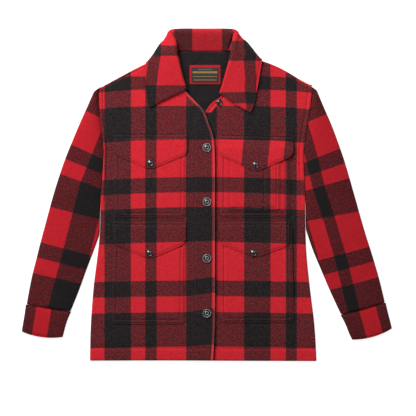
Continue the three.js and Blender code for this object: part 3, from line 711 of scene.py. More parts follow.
def front_uv(table, x, y):
    """The plaid of a front, over whose shoulder a strip of the back comes forward."""
    uv = right_uv(x, y) if table is RIGHT_FRONT else left_uv(x, y)
    is_back = distance_to(shoulder_line(table), x, y) < SHOULDER_STRIP
    uv[..., 1] = np.where(is_back, SHOULDER_V, uv[..., 1])
    return uv


# Swells and hollows of the fronts, as height and half width: beside the armhole and along the over-front's
# opening, and how the cloth under it sinks beside that edge below the top button
ARMHOLE_RIDGE = (1.2, 3.5)
ARMHOLE_RIDGE_LINE = 4.0
EDGE_RIDGE = (2.6, 6.0)
UNDER_EDGE_HOLLOW = (1.9, 5.5)
TOP_BUTTON_Y = 135.0


def front_surface(table):
    """The height of a front's outer face at a place, with its stitched lines sunk and its edges raised."""
    is_right = table is RIGHT_FRONT
    opening, armhole, shoulder = opening_line(table), armhole_line(table, 0), shoulder_line(table)
    over_edge = opening_line(RIGHT_FRONT)
    hem_y = along(table, np.zeros(1))[0, 1]

    def height(x, y):
        from_opening, from_armhole = distance_to(opening, x, y), distance_to(armhole, x, y)
        sunk = dip(from_opening - OPENING_LINE) + dip(from_armhole - ARMHOLE_LINE)
        sunk += dip(y - hem_y - HEM_LINE) + dip(distance_to(shoulder, x, y) - SHOULDER_STRIP)
        raised = swell(from_armhole - ARMHOLE_RIDGE_LINE, *ARMHOLE_RIDGE)
        if is_right:
            placket = sum(dip(x - line) for line in PLACKET_LINES)
            sunk += placket * (1 - smooth(y, PLACKET_TOP, PLACKET_TOP + 6))
            raised += swell(from_opening, *EDGE_RIDGE)
        else:
            hollow = swell(distance_to(over_edge, x, y), *UNDER_EDGE_HOLLOW)
            sunk += hollow * (y < TOP_BUTTON_Y)
        return front_top(x, y, is_right) - sunk + raised

    return height


# Distances from a front's side edge and from its opening at which its grid has lines, the front's width
# there, and the shares across the right front at which it has lines beside its placket's stitches
BY_SIDE = joined(0, 1, 2.5, 4, 5.5, 7, 8, 9, 10, 11, 13) / 250
BY_OPENING = 1 - joined(13, 10, 8, 7, 6, 5, 4, 3, 1.8, 0.8, 0) / 265
BY_PLACKET = joined(0.79, 0.8, 0.806, 0.812, 0.818, 0.824, 0.83, 0.836, 0.842, 0.85, 0.86)


def front_columns(count, between=None):
    """Shares from a front's side edge to its opening, close together at the lines of stitches."""
    middle = np.linspace(BY_SIDE[-1], BY_OPENING[0], count)[1:-1]
    if between is not None:
        middle = joined(middle[middle < between[0]], between, middle[middle > between[-1]])
    return joined(BY_SIDE, middle, BY_OPENING)


# y below which a front's "edge" map measures from the over-front's edge, and above which from its own
FOLD_TOP = 150.0
# Shares across a front, and across the back from each side, over which the shoulder's roll ends towards the
# neck
FRONT_TOP_ROLL = (0.72, 0.95)
BACK_TOP_ROLL = (0.2, 0.28)


def edges_of(table, side):
    """A front's side edge and opening edge at some t, drawn in by the shoulder's roll."""
    out = shoulder_out(side)
    near = lambda t: drawn_in(along(table, t)[:, :2], t, out, side)
    far = lambda t: drawn_in(along(table, t)[:, 2:], t, out, 0)
    return near, far


def front_grids(table, side, across):
    """A front's outer and inner grids and its "edge" map."""
    out = shoulder_out(side)
    near, far = edges_of(table, side)
    near_top, far_top = near(np.array([1.0])), far(np.array([1.0]))
    rolled = len(ROLL_STEPS)
    columns = (joined(np.zeros(rolled), across), joined(ROLL_STEPS, np.full(len(across), PAST_ROLL)),
               joined(np.full(rolled, side), np.zeros(len(across))))

    def rise(x, y):
        return front_top(x, y, side < 0) - HEIGHT

    outer, inner = body_layer(near, far, lambda u: on_shoulder(near_top, far_top, u, side), columns,
                              lambda u: 1 - smooth(u, *FRONT_TOP_ROLL), lambda u: out, 1, rise)
    place = place_of(outer)
    outer[..., 2] += front_surface(table)(*place) - front_top(*place, side < 0)
    own = distance_to(opening_line(table), *place)
    from_over_edge = distance_to(opening_line(RIGHT_FRONT), *place)
    edge = np.stack([np.where(place[1] > FOLD_TOP, own, from_over_edge), place[1]], -1)
    return outer, inner, edge


def back_grids(across):
    """The back's outer and inner grids, with its neck between both shoulders."""
    right, left = shoulder_out(-1), shoulder_out(1)
    near, far = edges_of(RIGHT_FRONT, -1)[0], edges_of(LEFT_FRONT, 1)[0]
    right_y = RIGHT_FRONT[-1][3]
    neck_x, left_y = LEFT_FRONT[-1][2:]
    neck_right, neck_left = BACK_NECK_U
    near_top, far_top = near(np.array([1.0]))[0], far(np.array([1.0]))[0]
    right_neck = np.array([-neck_x - right[0] * ROLL, right_y - right[1] * ROLL])
    left_neck = np.array([neck_x - left[0] * ROLL, left_y - left[1] * ROLL])

    def top(u):
        on_right = on_shoulder(near_top, right_neck, u / neck_right, -1)
        on_left = on_shoulder(left_neck, far_top, (u - neck_left) / (1 - neck_left), 1)
        part = np.clip((u - neck_right) / (neck_left - neck_right), 0, 1)
        arch = np.sqrt(np.sin(math.pi * part).clip(0))
        neck_y = lerp(lerp(right_y, left_y, part), BACK_NECK_Y, arch) - ROLL
        neck = np.stack([lerp(-neck_x, neck_x, part), neck_y], -1)
        is_right, is_left = (u < neck_right)[:, None], (u > neck_left)[:, None]
        return np.where(is_right, on_right, np.where(is_left, on_left, neck))

    def top_out(u):
        is_right, is_left = u < neck_right, u > neck_left
        out_x = np.where(is_right, right[0], np.where(is_left, left[0], 0.0))
        return out_x, np.where(is_right | is_left, right[1], 1.0)

    rolled = len(ROLL_STEPS)
    columns = (joined(np.zeros(rolled), across, np.ones(rolled)),
               joined(ROLL_STEPS, np.full(len(across), PAST_ROLL), ROLL_STEPS[::-1]),
               joined(np.full(rolled, -1), np.zeros(len(across)), np.ones(rolled)))
    return body_layer(near, far, top, columns, lambda u: 1 - smooth(0.5 - np.abs(u - 0.5), *BACK_TOP_ROLL),
                      top_out, -1, neck_rise)


# Points left out at both ends of the lines of stitches along a front's opening and its armhole, and how far
# from the side edge and from the opening the hem's line ends
OPENING_ENDS = slice(2, -14)
ARMHOLE_ENDS = slice(2, -3)
HEM_ENDS = (4, 8)


def front_lines(table):
    """The lines of stitches on a front: along its opening, its armhole, its hem and its placket."""
    side_x, hem_y, opening_x, _ = along(table, np.zeros(1))[0]
    to_opening = 1 if table is RIGHT_FRONT else -1
    by_side, by_opening = HEM_ENDS
    line_y = hem_y + HEM_LINE
    hem = [(side_x + by_side * to_opening, line_y), (opening_x - by_opening * to_opening, line_y)]
    opening = opening_line(table, OPENING_LINE)
    lines = [opening[OPENING_ENDS], armhole_line(table, ARMHOLE_LINE)[ARMHOLE_ENDS], hem]
    if table is RIGHT_FRONT:
        lines += [[(x, hem_y + by_side), (x, PLACKET_TOP)] for x in PLACKET_LINES]
    return [on_surface(line, front_surface(table)) for line in lines]


def add_body():
    fronts = (("right_front", RIGHT_FRONT, -1, front_columns(30, BY_PLACKET), "over_front", (0.29, 0.71),
               ["left_front_cloth", "back_cloth"]),
              ("left_front", LEFT_FRONT, 1, front_columns(32), "under_front", (0.28, 0.71), ["back_cloth"]))
    for name, table, side, across, material, flat, rests_on in fronts:
        outer, inner, edge = front_grids(table, side, across)
        cloth_piece(name, outer, inner, front_uv(table, *place_of(outer)), MATERIALS[material], flat,
                    rests_on=rests_on, lines=front_lines(table), edge=edge)
    right, left = BACK_NECK_U
    across = joined(np.linspace(0, right, 18), np.linspace(0.36, 0.64, 20), np.linspace(left, 1, 18))
    outer, inner = back_grids(across)
    cloth_piece("back", outer, inner, body_uv(*place_of(outer)), MATERIALS["wool"], (0.53, 0.72))


# Sleeves and cuffs

def folded_section(width, share):
    """A flattened tube's section at each row: in and up of the outer and inner faces.

    It runs along the bottom layer, round the outer fold and back along the top one. width and share have
    one value a row.
    """
    width, share = width[:, None], share[:, None]
    roll_outer, roll_inner = edge_roll(ROLL_STEPS[None, :], share)
    parts = np.linspace(0, 1, 13)[None, :]
    flat_in = lerp(ROLL, width - ROLL, parts)
    flat = np.ones_like(flat_in)
    fold = np.radians(np.arange(-72.0, 73.0, 18.0))[None, :]
    section = []
    for (roll_in, roll_up), radius in ((roll_outer, ROLL), (roll_inner, INNER_ROLL)):
        fold_in = width - ROLL + radius * np.cos(fold)
        fold_up = radius * np.sin(fold) * np.ones_like(width)
        distance = np.concatenate([roll_in, flat_in, fold_in, flat_in[:, ::-1], roll_in[:, ::-1]], 1)
        up = np.concatenate([-roll_up, -radius * flat, fold_up, radius * flat, roll_up[:, ::-1]], 1)
        section.append((distance, up))
    return section


# How far the cap runs on past its first row and is tucked under the shoulder's corner there, and over how
# far
CAP_REACH = 4.5
CAP_TUCK = 3.0
CAP_TUCK_REACH = 16


def sleeve_rows(front, side, upper, lower):
    """Inner edge, outer edge and seam share from the cap to the cuff."""
    level = np.linspace(TOP_LEVEL, UNDERARM, 60)
    edge = along(front, level / TOP_LEVEL)[:, :2]
    cap_y = upper[0][0]
    keep = edge[:, 1] <= cap_y + CAP_REACH
    level, edge = level[keep], edge[keep]
    places = [-row[0] for row in upper]
    outer = along(upper, np.interp(-edge[:, 1], places, np.linspace(0, 1, len(upper))))[:, 1:]
    tucked = CAP_TUCK * smooth(edge[:, 1], cap_y - CAP_TUCK_REACH, cap_y + CAP_REACH)
    inner = edge + np.stack([side * (SEAM - tucked), 0 * tucked], -1)
    joint = [(*inner[-1], *outer[-1]), *lower]
    low = along(joint, np.linspace(0, 1, 23)[1:])
    return (np.concatenate([inner, low[:, :2]]), np.concatenate([outer, low[:, 2:]]),
            joined(seam_share(level), np.ones(len(low))))


# Sleeve creases: share across from the inner edge and distance from the cap at both ends, half width and
# height
RIGHT_SLEEVE_CREASES = (
    (0.05, 330, 0.6, 250, 12, -1.6),
    (0.1, 385, 0.75, 330, 11, 1.4),
    (0.25, 150, 0.8, 240, 14, 1.2),
    (0.3, 470, 0.9, 430, 12, -1.2),
    (0.1, 520, 0.6, 480, 10, 1.0),
)
LEFT_SLEEVE_CREASES = (
    (0.05, 315, 0.55, 245, 12, -1.6),
    (0.1, 370, 0.7, 325, 11, 1.4),
    (0.3, 140, 0.8, 230, 14, 1.2),
    (0.35, 455, 0.9, 425, 12, -1.2),
    (0.15, 525, 0.7, 490, 10, 1.0),
)


# A sleeve's width in its creases, the swell over its middle, and the hollow beside the armhole's seam
SLEEVE_WIDTH = 110
SLEEVE_CROWN = 5.0
ARMHOLE_HOLLOW = (2.2, 6.0)


def sleeve_grids(rows, creases):
    """A sleeve's outer and inner grids, and each row's distance along the overarm edge."""
    inner_edge, outer_edge, share = rows
    run = outer_edge - inner_edge
    width = np.linalg.norm(run, axis=1)
    direction = run / width[:, None]
    length = joined(0, np.cumsum(np.linalg.norm(np.diff(outer_edge, axis=0), axis=1)))
    scaled = np.array(creases) * (SLEEVE_WIDTH, 1, SLEEVE_WIDTH, 1, 1, 1)
    grids = []
    for distance, up in folded_section(width, share):
        across = distance / width[:, None]
        place = inner_edge[:, None] + direction[:, None] * distance[..., None]
        relief = crease_height(scaled, across * SLEEVE_WIDTH, length[:, None] + 0 * distance)
        crown = SLEEVE_CROWN * np.sin(math.pi * np.clip(across, 0, 1)) ** 0.8
        hollow = (1 - share)[:, None] * swell(distance, *ARMHOLE_HOLLOW)
        lifted = np.where(up > 0, np.clip(up / ROLL, 0, 1) * (relief + crown - hollow), 0)
        grids.append(np.concatenate([place, (MIDDLE + up + lifted)[..., None]], -1))
    return grids, length


# How far the sleeves' plaid is turned
SLEEVE_TURN = math.radians(17)
# The rows along the overarm edge from the cap, in order from the wide black row by the shoulder
SLEEVE_ROWS = (84, 84, 36, 36, 79.4, 84.2, 35, 37.7, 80)


def sleeve_uv(grid, length, sleeve):
    """Plaid turned with the sleeve: v runs along the overarm edge and u across from a column's edge."""
    places = joined(0, np.cumsum(SLEEVE_ROWS)) + sleeve["start"]
    v = stretched(length, places, stripe_edges(ROW_STRIPES, len(SLEEVE_ROWS), first=2))
    line = sleeve["line"]
    line_x = np.interp(-grid[..., 1], [-y for _, y in line], [x for x, _ in line])
    across = (grid[..., 0] - line_x) * math.cos(SLEEVE_TURN)
    low_widen, high_widen = sleeve["widen"]
    u = sleeve["column"] + across * np.where(across < 0, 1 / low_widen, 1 / high_widen)
    return np.stack([u, v[:, None] + 0 * u], -1)


# Both sleeves: their front and its side, their tables and creases, and their plaid: a line of x, y along a
# column's edge, that column's u, where the rows start, and how much wider the columns lie beside the line
SLEEVES = {
    "right": {
        "front": RIGHT_FRONT, "side": -1, "top": RIGHT_SLEEVE_TOP, "low": RIGHT_SLEEVE_LOW,
        "creases": RIGHT_SLEEVE_CREASES, "column": 0, "start": -37.6, "widen": (1, 1),
        "line": ((-215, 195), (-237, 139), (-283, 24), (-322, -129), (-358, -265), (-372, -318)),
    },
    "left": {
        "front": LEFT_FRONT, "side": 1, "top": LEFT_SLEEVE_TOP, "low": LEFT_SLEEVE_LOW,
        "creases": LEFT_SLEEVE_CREASES, "column": COLUMN_REPEAT - 69, "start": -26, "widen": (1.06, 1.12),
        "line": ((232, 190), (261, 88.8), (279.5, 11.7), (303.6, -60.7), (327, -141.2), (337, -180.3),
                 (358.8, -267.7)),
    },
}


def add_sleeves():
    for name, sleeve in SLEEVES.items():
        rows = sleeve_rows(sleeve["front"], sleeve["side"], sleeve["top"], sleeve["low"])
        (outer, inner), length = sleeve_grids(rows, sleeve["creases"])
        uv = sleeve_uv(outer, length, sleeve)
        cloth_piece(f"{name}_sleeve", outer, inner, uv, MATERIALS["sleeve_wool_painted_shade"], (0.28, 0.58))


def cuff_start(sleeve_end):
    """The cuff's first row: the sleeve's last one, moved over the seam and widened."""
    inner, outer = np.array(sleeve_end[:2], float), np.array(sleeve_end[2:], float)
    across = (outer - inner) / np.linalg.norm(outer - inner)
    down = np.array([across[1], -across[0]])
    down *= -1 if down[1] > 0 else 1
    return (*(inner + SEAM * down - CUFF_FLARE * across), *(outer + SEAM * down + CUFF_FLARE * across))


# A cuff's depth and swell, its grid's points round each end and across, its grid's lines beside both rims,
# and the rows that its stitches run along
CUFF_DEPTH = 50.0
CUFF_SWELL = 0.8
CUFF_ARC = 9
CUFF_PARTS = 12
CUFF_RIM = joined(0, 1, 2, 3, 4, 5.5, 8) / CUFF_DEPTH
CUFF_LINE_ROWS = (3, -4)


def cuff_grids(sleeve, rows):
    table = [cuff_start(sleeve[-1]), *rows]
    share = joined(CUFF_RIM, np.linspace(CUFF_RIM[-1], 1 - CUFF_RIM[-1], 8)[1:-1], 1 - CUFF_RIM[::-1])
    places = along(table, share)
    inner_edge, outer_edge = places[:, :2], places[:, 2:]
    run = outer_edge - inner_edge
    width = np.linalg.norm(run, axis=1)[:, None]
    direction = run / width
    middle = (inner_edge + outer_edge) / 2
    axis = (middle[-1] - middle[0]) / np.linalg.norm(middle[-1] - middle[0])
    radius = CUFF_HEIGHT / 2
    arc = np.radians(np.linspace(-90, 90, CUFF_ARC))[None, :]
    parts = np.linspace(0, 1, CUFF_PARTS + 2)[None, 1:-1]
    grids = []
    for thickness in (0, CUFF_CLOTH):
        bend = radius - thickness
        outer_in = width - radius + bend * np.cos(arc)
        inner_in = radius - bend * np.cos(arc) + 0 * width
        top_in = lerp(width - radius, radius, parts)
        bottom_in = lerp(radius, width - radius, parts)
        distance = np.concatenate([outer_in, top_in, inner_in, bottom_in], 1)
        up = joined(np.sin(arc[0]), np.ones(parts.size), -np.sin(arc[0]), -np.ones(parts.size))[None, :]
        across = distance / width
        bow = CUFF_BOW * 4 * across * (1 - across) * share[:, None] ** 2
        place = inner_edge[:, None] + direction[:, None] * distance[..., None] + axis * bow[..., None]
        raised = CUFF_SWELL * np.sin(math.pi * np.clip(across, 0, 1)) * np.sin(math.pi * share)[:, None]
        depth = share[:, None] * CUFF_DEPTH
        is_top = (up > 0.99) * (thickness == 0)
        sunk = (dip(depth - EDGE_LINE) + dip(CUFF_DEPTH - depth - EDGE_LINE)) * is_top
        height = radius + up * bend + raised * (up > 0) - sunk
        grids.append(np.concatenate([place, height[..., None]], -1))
    return grids


# On a cuff the red column lies over its middle, between two black ones, on a red row that starts at this v.
# The shares across from its inner edge are where the red starts and ends and where the black after it ends.
CUFF_COLUMNS = {"right": (0.38, 0.74, 1.02), "left": (0.36, 0.76, 1.02)}
CUFF_WIDTH = 110
CUFF_V = ROW_REPEAT - 80


def cuff_uv(grid, inner_edge, outer_edge, columns):
    run = outer_edge - inner_edge
    share = np.einsum("rck,k->rc", grid[..., :2] - inner_edge, run) / run.dot(run)
    u = stretched(share * CUFF_WIDTH, np.array(columns) * CUFF_WIDTH, stripe_edges(COLUMN_STRIPES, 3)[1:])
    v = CUFF_V + np.linalg.norm(grid[..., :2] - grid[:1, :, :2], axis=-1)
    uv = np.stack([u, v], -1)
    return np.concatenate([uv, uv[:, :1]], 1)


def add_cuffs():
    top = slice(CUFF_ARC - 1, CUFF_ARC + CUFF_PARTS + 1)
    for side, rows in (("right", RIGHT_CUFF), ("left", LEFT_CUFF)):
        outer, inner = cuff_grids(SLEEVES[side]["low"], rows)
        last = np.array(rows[1], float)
        uv = cuff_uv(outer, last[:2], last[2:], CUFF_COLUMNS[side])
        lines = [outer[row, top] for row in CUFF_LINE_ROWS]
        cloth_piece(f"{side}_cuff", outer, inner, uv, MATERIALS["sleeve_wool_painted_shade"], (0.22, 0.062), is_ring=True,
                    lines=lines)


# The collar

def unit(v):
    return v / np.linalg.norm(v, axis=1, keepdims=True)


def dot(a, b):
    return (a * b).sum(1, keepdims=True)


def distance_between(a, b):
    return np.linalg.norm(a - b, axis=1, keepdims=True)


def bezier(p, s):
    r = 1 - s
    return r ** 3 * p[0] + 3 * r ** 2 * s * p[1] + 3 * r * s ** 2 * p[2] + s ** 3 * p[3]


def square_to(axis, v):
    """The part of v that is square to an axis, with length 1."""
    return unit(v - axis * dot(v, axis))


def collar_middle(t, parts):
    """Points of the collar's middle surface: up the stand, round the roll and down the fall."""
    row = along(COLLAR, t)
    neck, roll, fall, edge = (row[:, k:k + 3] for k in (0, 3, 6, 9))
    radius = row[:, 12:13]
    before, after = (along(COLLAR, t + shift)[:, 3:6] for shift in (-ROLL_STRETCH, ROLL_STRETCH))
    lengthwise = unit(after - before)
    to_neck, to_fall = square_to(lengthwise, neck - roll), square_to(lengthwise, fall - roll)
    ahead = -unit(to_neck + to_fall)
    over = unit(np.cross(lengthwise, ahead))
    over = np.where(dot(over, to_fall - to_neck) < 0, -over, over)
    centre = roll - ahead * radius

    def on_roll(angle):
        return centre + ahead * radius * math.cos(angle) + over * radius * math.sin(angle)

    start, end = on_roll(-math.pi / 2), on_roll(math.pi / 2)
    bend = np.minimum(1.5 * radius, distance_between(start, neck) / 3)
    through = unit(edge - end)
    stand = (neck, lerp(neck, start, 1 / 3), start - ahead * bend, start)
    upper = (end, end - ahead * 1.5 * radius, fall - through * distance_between(end, fall) / 3, fall)
    lower = (fall, fall + through * distance_between(fall, edge) / 3, lerp(edge, fall, 1 / 3), edge)
    lines = [bezier(stand, s) for s in parts["stand"]]
    lines += [on_roll(math.radians(angle)) for angle in parts["roll"]]
    lines += [bezier(upper, s) for s in parts["upper"]]
    lines += [bezier(lower, s) for s in parts["lower"]]
    points = np.stack(lines, 1)
    points[..., 2] += neck_rise(points[..., 0], points[..., 1])
    return points


# The collar's grid: shares or angles along its sections, rows from end to end, and the column and the row
# from each end that its stitches run along
COLLAR_PARTS = {
    "stand": (0, 0.04, 0.15, 0.3, 0.45, 0.6, 0.75, 0.88),
    "roll": (-90, -67, -45, -22, 0, 22, 45, 67),
    "upper": (0, 0.12, 0.25, 0.4, 0.55, 0.7, 0.85),
    "lower": (0, 0.15, 0.3, 0.45, 0.6, 0.72, 0.78, 0.82, 0.86, 0.9, 0.95, 0.985, 1),
}
COLLAR_EDGE = -5
COLLAR_END = joined(0, 0.0015, 0.004, 0.006, 0.008, 0.01, 0.013)
COLLAR_ROWS = joined(COLLAR_END, np.linspace(0.018, 0.982, 105), 1 - COLLAR_END[::-1])
COLLAR_END_ROW = 4


def surface_normals(points):
    lengthwise = np.gradient(points, axis=0)
    across = np.gradient(points, axis=1)
    normals = np.cross(lengthwise, across)
    return normals / np.linalg.norm(normals, axis=2, keepdims=True)


# The collar's plaid. u goes by y on the leaves and by x on the back, and v is the distance out from a line
# on each leaf, as y and x, where the short black row starts. Both have the cloth's stretch taken out.
RIGHT_LEAF_COLUMNS = ((-342.5, -316.8, -250.4), (-94.5, -69, 0))
LEFT_LEAF_COLUMNS = ((209, 234.5, 305.6, 361), (-471.5, -446, -377, -316))
BACK_COLLAR_COLUMNS = ((-65.9, -42.9, 26.1, 67.2), (-283, -257.5, -188.5, -127.5))
RIGHT_LEAF_LINE = ((204.5, 110), (250.5, 107.3), (303, 100), (319.5, 96.8), (342.5, 96.8))
LEFT_LEAF_LINE = ((205, 98), (240, 93.8), (262, 95.5), (303, 92.2), (326, 95.5), (362, 84))
LEAF_STRETCH = 1.35
RIGHT_LEAF_END = (5 / 19, 7 / 19)
LEFT_LEAF_START = (12 / 19, 14 / 19)
STAND_V = -30.0
ROLL_V = -42.0


def collar_uv(middle, on_stand):
    """u and v of the collar's plaid at its middle surface's points."""
    x, y = middle[..., 0], middle[..., 1]
    steps = np.linalg.norm(np.diff(middle, axis=1), axis=2)
    length = np.concatenate([np.zeros((len(middle), 1)), np.cumsum(steps, 1)], 1)
    from_roll = length - length[:, [list(on_stand).index(False)]]
    leaf = []
    leaves = ((-1, RIGHT_LEAF_LINE, RIGHT_LEAF_COLUMNS), (1, LEFT_LEAF_LINE, LEFT_LEAF_COLUMNS))
    for side, line, columns in leaves:
        line_x = np.interp(y, [place[0] for place in line], [place[1] for place in line])
        u = stretched(side * y, *columns)
        v = LEAF_STRETCH * (side * x - line_x)
        leaf.append(np.stack([u, np.where(on_stand, STAND_V + from_roll, v)], -1))
    back_v = np.where(on_stand, STAND_V, ROLL_V) + from_roll
    back = np.stack([stretched(-x, *BACK_COLLAR_COLUMNS), back_v], -1)
    t = COLLAR_ROWS[:, None, None]
    uv = lerp(leaf[0], back, smooth(t, *RIGHT_LEAF_END))
    return lerp(uv, leaf[1], smooth(t, *LEFT_LEAF_START))


def collar_grids():
    middle = collar_middle(COLLAR_ROWS, COLLAR_PARTS)
    normals = surface_normals(middle)
    sunk = np.zeros(middle.shape[:2])
    fall_start = len(COLLAR_PARTS["stand"]) + len(COLLAR_PARTS["roll"])
    for row in (COLLAR_END_ROW, len(sunk) - 1 - COLLAR_END_ROW):
        sunk[row, fall_start:COLLAR_EDGE + 1] = DIP
    sunk[COLLAR_END_ROW:-COLLAR_END_ROW, COLLAR_EDGE] = DIP
    grids = []
    for side, sinking in ((1, sunk), (-1, 0 * sunk)):
        grid = middle + (side * COLLAR_CLOTH / 2 - sinking)[..., None] * normals
        grid[..., 2] = np.maximum(grid[..., 2], 0)
        grids.append(grid)
    return grids, middle


def add_collar():
    (outer, inner), middle = collar_grids()
    stand = len(COLLAR_PARTS["stand"])
    on_stand = np.arange(middle.shape[1]) < stand
    fall = slice(stand + len(COLLAR_PARTS["roll"]) + 2, COLLAR_EDGE + 1)
    end = COLLAR_END_ROW
    lines = [outer[end, fall], outer[-1 - end, fall], outer[end:-end, COLLAR_EDGE]]
    # The collar's "edge" map carries on_fall, where the stand's painted shade ends
    on_fall = smooth(np.arange(middle.shape[1]), stand - 3, stand + 3)[None, :, None]
    cloth_piece("collar", outer, inner, collar_uv(middle, on_stand), MATERIALS["collar_wool_painted_shade"], (0.60, 0.15),
                rests_on=["right_front_cloth", "left_front_cloth"], lines=lines,
                edge=on_fall * np.ones((len(middle), 1, 2)))


# Pockets and flaps

def entry_lift(x, y, entry):
    """The hand entry of a hip pocket stands off the front along its outer side."""
    if not entry:
        return 0 * np.asarray(x, float)
    pocket = POCKETS["right_hip_pocket" if entry < 0 else "left_hip_pocket"]
    side = 0 if entry < 0 else 1
    t = (y - pocket["y"][0]) / (pocket["y"][1] - pocket["y"][0])
    distance = entry * (lerp(pocket["bottom"][side], pocket["mouth"][side], t) - x)
    height = smooth(y, *ENTRY_Y[:2]) * (1 - smooth(y, *ENTRY_Y[2:]))
    return ENTRY_LIFT * height * (1 - smooth(distance, 0, ENTRY_WIDTH))


def laid_grids(x, y, up, thickness, sunk=0.0):
    """A flat piece that lies on a front: height over the front, with its thickness and its sunk lines."""
    low = front_top(x, y) + up
    return np.stack([x, y, low + thickness - sunk], -1), np.stack([x, y, low], -1)


def corner_drop(distance, radius):
    inside = np.clip(radius - distance, 0, radius)
    return radius - np.sqrt(radius ** 2 - inside ** 2)


# How much thinner the turned edges of pockets and flaps are pressed, and over what width
POCKET_PRESSED = 1.8
FLAP_PRESSED = 0.9
PRESSED_WIDTH = 2.4


def pressed(distance, depth):
    """How much thinner a turned edge is pressed, at a distance from it."""
    return depth * (1 - smooth(distance, 0, PRESSED_WIDTH))


# Distances from a laid piece's edge at which its grid has lines
RIM_STEPS = joined(0, 0.4, 1.2, 2, 3, 4, 5, 6.5, 8, 9.2, POCKET_CORNER, 11, 12, 14)
BESIDE_DIVIDER = joined(-4, -2.5, -1.2, 0, 1.2, 2.5, 4)


def pocket_sides(pocket, y):
    """x of a pocket's two sides at y, with its lower corners rounded."""
    height = y - pocket["y"][0]
    t = height / (pocket["y"][1] - pocket["y"][0])
    inset = corner_drop(height, POCKET_CORNER)
    low, high = (lerp(pocket["bottom"][k], pocket["mouth"][k], t) for k in (0, 1))
    return low + inset, high - inset


def pocket_sunk(pocket, x, y):
    """How far a pocket's outer face sinks along its stitched lines."""
    low, high = pocket_sides(pocket, y)
    distance = np.minimum(np.minimum(x - low, high - x), y - pocket["y"][0])
    sunk = sum(dip(distance - line) for line in pocket.get("lines", (EDGE_LINE, SECOND_LINE)))
    return sunk + pressed(distance, POCKET_PRESSED) + (dip(x - PEN_DIVIDER) if "lift" in pocket else 0)


def pocket_up(pocket, x, y):
    return SEAM + pocket.get("lift", 0) + entry_lift(x, y, pocket.get("entry"))


def pocket_grids(pocket):
    low_y, high_y = pocket["y"]
    depth = high_y - low_y
    height = joined(RIM_STEPS, np.linspace(RIM_STEPS[-1], depth - 2, 26)[1:], depth)[:, None]
    low, high = pocket_sides(pocket, low_y + height)
    width = pocket["mouth"][1] - pocket["mouth"][0]
    by_side = RIM_STEPS / width
    inner = np.linspace(by_side[-1], 1 - by_side[-1], 22)[1:-1]
    if "lift" in pocket:
        divider = (PEN_DIVIDER - pocket["mouth"][0]) / width
        beside = divider + BESIDE_DIVIDER / width
        inner = joined(inner[inner < beside[0]], beside, inner[inner > beside[-1]])
    x = lerp(low, high, joined(by_side, inner, 1 - by_side[::-1])[None, :])
    y = low_y + height + 0 * x
    return laid_grids(x, y, pocket_up(pocket, x, y), PATCH_CLOTH, pocket_sunk(pocket, x, y))


def pocket_line(pocket, inset):
    """A line of stitches round a pocket's sides and bottom, inset from them, as x, y."""
    (low_x, high_x), (low_y, high_y) = pocket["bottom"], pocket["y"]
    radius = max(POCKET_CORNER - inset, 0.5)
    turn = np.radians(np.linspace(0, 90, 7))
    reach = inset + radius
    y = low_y + reach - radius * np.sin(turn)
    left = np.stack([low_x + reach - radius * np.cos(turn), y], -1)
    right = np.stack([high_x - reach + radius * np.cos(turn), y], -1)[::-1]
    ends = [[(x + inwards * inset, high_y - 3)] for x, inwards in zip(pocket["mouth"], (1, -1))]
    return np.concatenate([ends[0], left, right, ends[1]])


def pocket_lines(pocket):
    def surface(x, y):
        return front_top(x, y) + pocket_up(pocket, x, y) + PATCH_CLOTH - pocket_sunk(pocket, x, y)

    lines = [pocket_line(pocket, inset) for inset in pocket.get("lines", (EDGE_LINE, SECOND_LINE))]
    if "lift" in pocket:
        lines.append([(PEN_DIVIDER, y) for y in pocket["y"]])
    return [on_surface(line, surface) for line in lines]


def flap_top(flap, x):
    (start, end), top = flap["x"], flap["top"]
    return lerp(top[0], top[1], (x - start) / (end - start))


def flap_lift(flap, x, y):
    """How high a flap's underside lies over the front: it is sewn down at its top and climbs the pocket."""
    pen = flap.get("pen")
    over_pocket = PATCH_RISE * smooth(flap_top(flap, x) - y, 1, FLAP_SLOPE)
    over_pen = PATCH_RISE * (1 - smooth(y, *pen)) if pen else 0
    return SEAM + over_pocket + over_pen + entry_lift(x, y, flap.get("entry"))


# A flap's two lines of stitches from its top edge, how much deeper they are and how much shallower the line
# round its edge is than other lines, its slanted edges' cosine, and how blunt its point is
FLAP_TOP_LINES = (2.0, 9.5)
FLAP_TOP_DEPTH = 1.8
FLAP_EDGE_DEPTH = 0.7
FLAP_EDGE_SLANT = 0.92
FLAP_POINT_BLUNT = (2.0, 7.0)


def flap_low(flap, x):
    """The flap's lower edge at x, with its corners rounded."""
    (start, end), side, (point_x, point_y) = flap["x"], flap["side"], flap["point"]
    is_start = x <= point_x
    edge = np.where(is_start, start, end)
    corner = np.where(is_start, side[0], side[1])
    slanted = lerp(corner, point_y, (x - edge) / (point_x - edge))
    return slanted + corner_drop(np.abs(x - edge), FLAP_CORNER) + swell(x - point_x, *FLAP_POINT_BLUNT)


def flap_sunk(flap, x, y):
    """How far a flap's outer face sinks along the two lines at its top and the one round its edge."""
    start, end = flap["x"]
    from_top = flap_top(flap, x) - y
    from_edge = np.minimum(np.minimum(x - start, end - x), (y - flap_low(flap, x)) * FLAP_EDGE_SLANT)
    tops = sum(dip(from_top - line) for line in FLAP_TOP_LINES)
    round_edge = FLAP_EDGE_DEPTH * dip(from_edge - EDGE_LINE)
    return FLAP_TOP_DEPTH * tops + round_edge + pressed(from_edge, FLAP_PRESSED)


# Distances from a flap's top edge and from its lower edge at which its grid has lines
FLAP_TOP_STEPS = (0, 0.5, 1.2, 2, 3, 4.5, 6.5, 8, 9.5, 11, 13, 16)
FLAP_LOW_STEPS = (8, 6, 4.5, 3.2, 2, 1.2, 0.5, 0)


